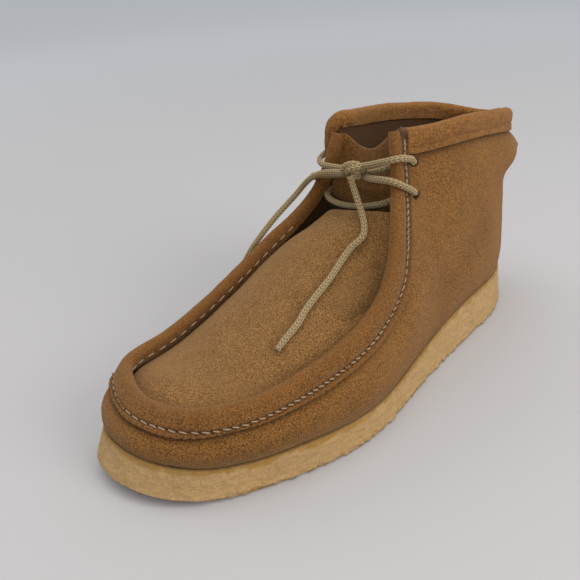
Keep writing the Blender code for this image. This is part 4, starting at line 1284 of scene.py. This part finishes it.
class BOOT_OT_roll(bpy.types.Operator):
    """The rolled strip over the seam"""

    bl_idname = "boot.roll"
    bl_label = "Rolled seam"

    def execute(self, context):
        """Build the roll."""
        mesh = skin_of("moccasin_roll", degrees=60, sharpness=0.8, levels=sizes().skin_levels)
        points, normals = read_points(mesh)
        seam = SeamLine(ROLL_SEAM_STEP)
        reach, fall, out = seam.read(points)
        share = reach / seam.length
        lip = np.interp(reach, seam.reach, seam.lip)
        outer = fade(out, -0.5, 1.0)
        from_lip = lip - fall
        channel = hump(from_lip, sewn(share, "from_lip"), sewn(share, "channel"), 4) * outer
        width = sewn(share, "flange")
        flange = hump(from_lip, FLANGE_MIDDLE * width, width) * outer
        gathers = np.sin(2 * math.pi * (reach + GATHER_LEAN * from_lip) / GATHER_PERIOD)
        lift = lumps(points, ROLL_LUMPS) - CHANNEL_DEPTH * channel
        lift += flange * (1.0 - GATHER_SHARE + GATHER_SHARE * gathers)
        points += normals * lift[:, None]
        write_points(mesh, points)
        # Painted shade in the stitch channel, deeper at the throat, and in the hollows of the gathers
        dark = np.interp(np.abs(share - 0.5), THROAT_FROM_TOE, CHANNEL_SHADE)
        write_mask(mesh, "shade", np.clip(dark * channel - 0.15 * flange * gathers, 0.0, 1.0))
        # Paler on the crest as wear and a painted highlight, and along the lip's raw edge
        crest = hump(fall, -ROLL_CREST_RISE, ROLL_CREST_HALF_WIDTH)
        write_mask(mesh, "rubbed", np.clip(0.4 * crest + 0.65 * flange, 0.0, 0.8))
        finish("rolled_seam", mesh, suede_for("suede, roll", colours().roll), "moccasin_roll")
        return {"FINISHED"}


class BOOT_OT_binding(bpy.types.Operator):
    """The folded strip over the collar"""

    bl_idname = "boot.binding"
    bl_label = "Collar strip"

    def execute(self, context):
        """Build the collar strip."""
        mesh = skin_of("collar_binding", degrees=60, sharpness=0.95, levels=sizes().skin_levels)
        points, normals = read_points(mesh)
        points += normals * lumps(points, BINDING_LUMPS)[:, None]
        outward = points[:, :2] - COLLAR_CENTRE
        fall = self.below_rim(outward, points[:, 2])
        outer = fade(np.sum(normals[:, :2] * unit(outward), axis=1), 0.0, 0.4)
        groove = hump(fall, BINDING_SEAM_FALL, BINDING_GROOVE_HALF_WIDTH) * outer
        fringe = fade(fall, *BINDING_FRINGE_FADE) * outer
        lift = fringe * lumps(points, FRINGE_LUMPS) - BINDING_GROOVE_DEPTH * groove
        points += normals * lift[:, None]
        toward = np.array(BINDING_END_FACING)
        behind = (points - np.array(BINDING_END)) @ -toward
        close = fade(behind, BINDING_CLOSE_REACH, 0.0) * (points[:, 0] > 0.0)
        points += toward * (BINDING_CLOSE * close)[:, None]
        points[:, 2] += BINDING_NARROWER * fall * fade(points[:, 0], *BINDING_NARROW_FADE)
        write_points(mesh, points)
        mottle = lumps(points, BINDING_MOTTLE)
        # Painted shade in the seam's groove, over random mottling
        write_mask(mesh, "shade", np.clip(0.22 * mottle + 0.25 * groove, 0.0, 0.5))
        # Paler where the strip faces up, as wear and painted light; paler where mottled and on the
        # frayed fringe
        rim = np.clip(0.3 + lumps(points, BINDING_WEAR_AND_LIGHT), 0.0, 0.6) * fade(normals[:, 2], 0.2, 0.8)
        frayed = fringe * (0.2 + lumps(points, FRINGE_WEAR))
        write_mask(mesh, "rubbed", np.clip(rim + 0.3 * np.maximum(-mottle, 0.0) + frayed, 0.0, 0.7))
        suede = suede_for("suede, collar", toned(colours().roll, 1.25))
        finish("collar_strip", mesh, suede, "collar_binding")
        self.corner(suede)
        self.pinch()
        return {"FINISHED"}

    @staticmethod
    def below_rim(outward, height):
        """How far each point lies below the collar's rim, read round the collar's centre."""
        angle = np.arctan2(outward[:, 0], outward[:, 1])
        turns = np.linspace(-math.pi, math.pi, RIM_TURNS)
        tops = np.array([height[np.abs(angle - turn) < RIM_HALF_TURN].max(initial=0.0)
                         for turn in turns])
        return np.interp(angle, turns[tops > 0], tops[tops > 0]) - height

    @staticmethod
    def corner(suede):
        """The strip's inner end, turned down round the corner of the collar."""
        path = smooth_path(CORNER_ROUTE, CORNER_STEP)
        mesh, sides = tube_mesh("collar_corner", path[:, :3], 1.0, CORNER_RING_RESOLUTION)
        points = read_points(mesh)[0]
        centre = path[np.arange(len(points)) // sides]
        outward = unit(points - centre[:, :3])
        radius = centre[:, 3] + lumps(points, CORNER_LUMPS)
        write_points(mesh, centre[:, :3] + outward * radius[:, None])
        write_mask(mesh, "shade", 0.25 * fade(lumps(points, CORNER_SHADE), 0.0, 1.0))
        write_mask(mesh, "rubbed", 0.3 * fade(lumps(points, CORNER_WEAR), 0.0, 1.0))
        close_ends(mesh)
        finish("collar_corner", mesh, suede, None)

    @staticmethod
    def pinch():
        """The gathered end where the rolled strip meets the collar, dark with painted shade."""
        bm = bmesh.new()
        bmesh.ops.create_icosphere(bm, subdivisions=PINCH_SUBDIVISIONS, radius=1.0)
        bmesh.ops.scale(bm, vec=PINCH_SIZE, verts=bm.verts[:])
        bmesh.ops.translate(bm, vec=PINCH_PLACE, verts=bm.verts[:])
        mesh = bpy.data.meshes.new("collar_pinch")
        bm.to_mesh(mesh)
        bm.free()
        points, normals = read_points(mesh)
        write_points(mesh, points + normals * lumps(points, PINCH_LUMPS)[:, None])
        finish("collar_pinch", mesh, suede_material("gathered leather", *PINCH_SHADE_TONES), None)


SOLE_LONGEST_EDGE = 9.5
SOLE_CUTS = 3
SOLE_SIDE_FADE = (0.8, 0.5)
SOLE_ROUGH_FADE = (5.0, 1.0)
SOLE_GROUND_FADE = (3.0, 1.0)
GLUE_REACH = 3.7
GLUE_SOFTNESS = 1.8
JOINT_SHADE_FADE = (1.5, 0.7)


class BOOT_OT_sole(bpy.types.Operator):
    """The crepe wedge and the sock inside"""

    bl_idname = "boot.sole"
    bl_label = "Sole"

    def execute(self, context):
        """Build the sole and the insole."""
        bm = node_copy("outsole")
        cut_long_edges(bm, SOLE_LONGEST_EDGE, SOLE_CUTS)
        hold_edges(bm, degrees=35, sharpness=0.6)
        mesh = smoothed(bm, levels=3)
        points, normals = read_points(mesh)
        side = fade(np.abs(normals[:, 2]), *SOLE_SIDE_FADE)
        low = fade(points[:, 2], *SOLE_ROUGH_FADE)
        waves = (0.25 + 0.35 * low) * lumps(points, CREPE_WAVES)
        crumbs = (0.12 + 0.8 * low) * lumps(points, CREPE_CRUMBS)
        points += normals * ((waves + crumbs) * side)[:, None]
        points[:, 2] = np.maximum(points[:, 2], 0.0)
        write_points(mesh, points)
        wall = skin_tree("upper")
        away = np.array([wall.find_nearest(Vector(point))[3] for point in points])
        smear = GLUE_REACH + lumps(points, GLUE_SMEAR)
        glue = fade(smear - away, 0.0, GLUE_SOFTNESS) * (0.8 + lumps(points, GLUE_PATCHES))
        write_mask(mesh, "glue", np.clip(glue, 0.0, 0.95))
        edge = fade(points[:, 2], *SOLE_GROUND_FADE) * side
        grit = fade(lumps(points, GROUND_GRIT), 0.0, 0.3)
        # Grit darkens the ground edge; the joint with the wall gets painted shade
        joint = 0.5 * fade(away, *JOINT_SHADE_FADE)
        write_mask(mesh, "shade", np.clip(edge * (0.2 + 0.7 * grit) + joint, 0.0, 0.85))
        finish("crepe_sole", mesh, crepe_material("crepe rubber", tuple(colours().crepe),
                                                  GLUE_AMBER, GRIT_AND_JOINT_SHADE), "outsole")
        self.insole()
        return {"FINISHED"}

    @staticmethod
    def insole():
        """The sock that lines the bottom of the boot."""
        mesh = skin_of("insole", degrees=50, sharpness=0.7, levels=2)
        points = read_points(mesh)[0]
        write_mask(mesh, "shade", np.zeros(len(points)))
        write_mask(mesh, "rubbed", np.zeros(len(points)))
        finish("insole_sock", mesh, suede_material("lining leather", *SOCK_TONES, 0.12), "insole")


# Stitching

STITCH_BLUNTNESS = 0.6
STITCH_SINK = 0.9
STITCH_LIFT = 0.25
HOLE_SHAPE = Vector((1.3, 1.0, 0.45))
HOLE_AHEAD = 0.5
HOLE_LIFT = 0.05
STITCH_SEAM_STEP = 0.5
LONGEST_STITCH = 2.0
FALL_WANDER = 0.15
PERIOD_WANDER = (0.94, 1.06)
SIDE_HOLE_RADIUS = 0.45
SIDE_RAY_START = -20.0


def add_stitch(bm, place, along, outward, length, radius):
    """One stitch: a short thread, its ends sunk in the leather."""
    made = bmesh.ops.create_uvsphere(bm, u_segments=6, v_segments=6, radius=1.0)["verts"]
    side = along.cross(outward).normalized()
    turn = Matrix((side, outward, along)).transposed().to_4x4()
    for vert in made:
        reach = vert.co.z
        blunt = math.copysign(abs(reach) ** STITCH_BLUNTNESS, reach)
        sink = STITCH_SINK * radius * reach**4
        vert.co = Vector((vert.co.x * radius, vert.co.y * radius - sink, blunt * length / 2))
    bmesh.ops.transform(bm, matrix=Matrix.Translation(place) @ turn, verts=made)


def joined(name, bm, material):
    """Small shapes gathered in one bmesh, as one finished piece."""
    bmesh.ops.recalc_face_normals(bm, faces=bm.faces[:])
    mesh = bpy.data.meshes.new(name)
    bm.to_mesh(mesh)
    bm.free()
    write_mask(mesh, "crown", np.ones(len(mesh.vertices)))
    return finish(name, mesh, material, None, smooth_angle=80.0)


def add_hole_shade(bm, place, outward, along, radius):
    """A needle hole's painted shade: a small dark flat lens lying in the leather."""
    made = bmesh.ops.create_uvsphere(bm, u_segments=8, v_segments=4, radius=1.0)["verts"]
    side = along.cross(outward).normalized()
    turn = Matrix((along.normalized(), side, outward)).transposed().to_4x4()
    bmesh.ops.scale(bm, vec=HOLE_SHAPE * radius, verts=made)
    bmesh.ops.transform(bm, matrix=Matrix.Translation(place) @ turn, verts=made)


def sew(seam, tree, threads, holes, run, start):
    """Sew along part of the seam; run gives the shares, the fall and the sizes."""
    rng = random.Random(run.name)
    radius = (run.thread or 0.0) * sizes().thread / MM
    reach = run.start * seam.length
    while reach < run.end * seam.length:
        share = reach / seam.length
        period = run.period or float(sewn(share, "period"))
        length = run.length or float(sewn(share, "length"))
        slant = math.tan(math.radians(run.slant if run.period else float(sewn(share, "slant"))))
        lip = float(np.interp(reach, seam.reach, seam.lip))
        fall = run.fall
        if fall is None:
            fall = lip - float(sewn(share, "from_lip")) + run.shift
        fall += rng.uniform(-FALL_WANDER, FALL_WANDER)
        first = seam.touch(tree, reach - length / 2, fall + slant * length / 2, start)
        last = seam.touch(tree, reach + length / 2, fall - slant * length / 2, start)
        reach += period * rng.uniform(*PERIOD_WANDER)
        if first[0] is None or last[0] is None:
            continue
        along = last[0] - first[0]
        if along.length > LONGEST_STITCH * length:
            continue
        outward = (first[1] + last[1]).normalized()
        outward = (outward - along.normalized() * outward.dot(along.normalized())).normalized()
        middle = (first[0] + last[0]) / 2
        if run.thread:
            add_stitch(threads, middle + outward * STITCH_LIFT, along.normalized(), outward,
                       along.length, radius)
        add_hole_shade(holes, last[0] + along.normalized() * HOLE_AHEAD + last[1] * HOLE_LIFT, last[1],
                 along, run.hole)


class Run(NamedTuple):
    """Stitches along part of the seam, with sizes that replace the sewing's own.

    The thread is a share of the usual radius; without it only the painted shade in the needle's holes
    is made.
    """

    name: str
    start: float
    end: float
    fall: float
    shift: float
    period: float
    length: float
    slant: float
    thread: float
    hole: float


OUTER_RUNS = (
    Run("main row", 0.012, 0.988, None, 0.0, None, None, None, 1.0, 0.55),
    Run("slots, outer side", 0.17, 0.43, None, 1.5, 3.2, 1.4, 30.0, None, 0.4),
    Run("slots, toe", 0.43, 0.57, None, 1.4, 2.7, 1.0, -12.0, None, 0.3),
    Run("slots, inner side", 0.57, 0.83, None, 1.5, 3.2, 1.4, -30.0, None, 0.4),
    Run("pricks, outer throat", 0.004, 0.06, None, -3.0, 1.6, 0.5, 0.0, None, 0.36),
    Run("chain, outer throat", 0.014, 0.13, None, 1.1, 3.0, 2.3, -16.0, 0.85, 0.3),
    Run("chain, inner throat", 0.87, 0.986, None, 1.1, 3.0, 2.3, 16.0, 0.85, 0.3),
)
INNER_RUNS = (
    Run("inner row", 0.5, 0.86, 1.2, 0.0, 7.2, 4.6, 6.0, 1.05, 0.55),
    Run("inner row, outer side", 0.2, 0.5, 1.2, 0.0, 7.2, 4.6, 6.0, 1.05, 0.55),
)


class BOOT_OT_stitches(bpy.types.Operator):
    """The thread of both seams, with painted shade in the needle's holes and in the mouths of the lace
    holes
    """

    bl_idname = "boot.stitches"
    bl_label = "Stitching"

    def execute(self, context):
        """Sew the rolled seam and the side seam."""
        thread = braid_material("waxed thread", tuple(colours().thread),
                                toned(colours().thread, 0.4))
        # Dark lenses as painted shade in the needle's holes and in the lace holes
        hole = suede_material("needle holes", *HOLE_SHADE_TONES, 0.1)
        seam = SeamLine(STITCH_SEAM_STEP)
        roll = skin_tree("rolled_seam")
        for name, runs, start in (("outer", OUTER_RUNS, FROM_OUTSIDE),
                                  ("inner", INNER_RUNS, FROM_INSIDE)):
            threads, holes = bmesh.new(), bmesh.new()
            for place, facing in LACE_HOLE_SHADES if name == "outer" else ():
                add_hole_shade(holes, Vector(place), Vector(facing), Vector(LACE_HOLE_LONG_WAY),
                         LACE_HOLE_RADIUS)
            for run in runs:
                sew(seam, roll, threads, holes, run, start)
            if name == "inner":
                self.sew_side(threads, holes)
            joined(f"seam_thread_{name}", threads, thread)
            joined(f"seam_holes_{name}", holes, hole)
        return {"FINISHED"}

    @staticmethod
    def sew_side(threads, holes):
        """The short upright seam at the waist, on the inner side."""
        wall = skin_tree("upper_suede")
        for place in smooth_path(SIDE_SEAM, SIDE_STITCH_PERIOD):
            first, last = (wall.ray_cast(Vector(place) + Vector((SIDE_RAY_START, 0.0, shift)),
                                         Vector((1.0, 0.0, 0.0)), RAY_REACH)[:2]
                           for shift in (SIDE_STITCH_LENGTH / 2, -SIDE_STITCH_LENGTH / 2))
            along = (last[0] - first[0]).normalized()
            outward = (first[1] - along * first[1].dot(along)).normalized()
            add_stitch(threads, (first[0] + last[0]) / 2 + outward * STITCH_LIFT, along, outward,
                       SIDE_STITCH_LENGTH, sizes().thread / MM)
            add_hole_shade(holes, last[0] + along * HOLE_AHEAD, last[1], along, SIDE_HOLE_RADIUS)


class BOOT_PT_panel(bpy.types.Panel):
    """The boot's sizes, colours and steps"""

    bl_idname = "BOOT_PT_panel"
    bl_label = "Moccasin boot"
    bl_space_type = "VIEW_3D"
    bl_region_type = "UI"
    bl_category = "Boot"

    def draw(self, context):
        """List what can be changed and run."""
        layout = self.layout
        for group in (context.scene.boot_sizes, context.scene.boot_colours):
            for name in group.__annotations__:
                layout.prop(group, name)
        for operator in OPERATORS:
            layout.operator(operator.bl_idname)


OPERATORS = (BOOT_OT_stage, BOOT_OT_laces, BOOT_OT_sole, BOOT_OT_upper, BOOT_OT_apron,
             BOOT_OT_tongue, BOOT_OT_roll, BOOT_OT_binding, BOOT_OT_stitches)
CLASSES = (BOOT_PG_sizes, BOOT_PG_colours, *OPERATORS, BOOT_PT_panel)


def register():
    """Add the classes and the scene's settings."""
    for item in CLASSES:
        bpy.utils.register_class(item)
    bpy.types.Scene.boot_sizes = PointerProperty(type=BOOT_PG_sizes)
    bpy.types.Scene.boot_colours = PointerProperty(type=BOOT_PG_colours)


def unregister():
    """Take them away again."""
    del bpy.types.Scene.boot_colours
    del bpy.types.Scene.boot_sizes
    for item in reversed(CLASSES):
        bpy.utils.unregister_class(item)


def main():
    """Finish the boot."""
    register()
    for operator in OPERATORS:
        getattr(bpy.ops.boot, operator.bl_idname.split(".")[1])()


if __name__ == "__main__":
    main()
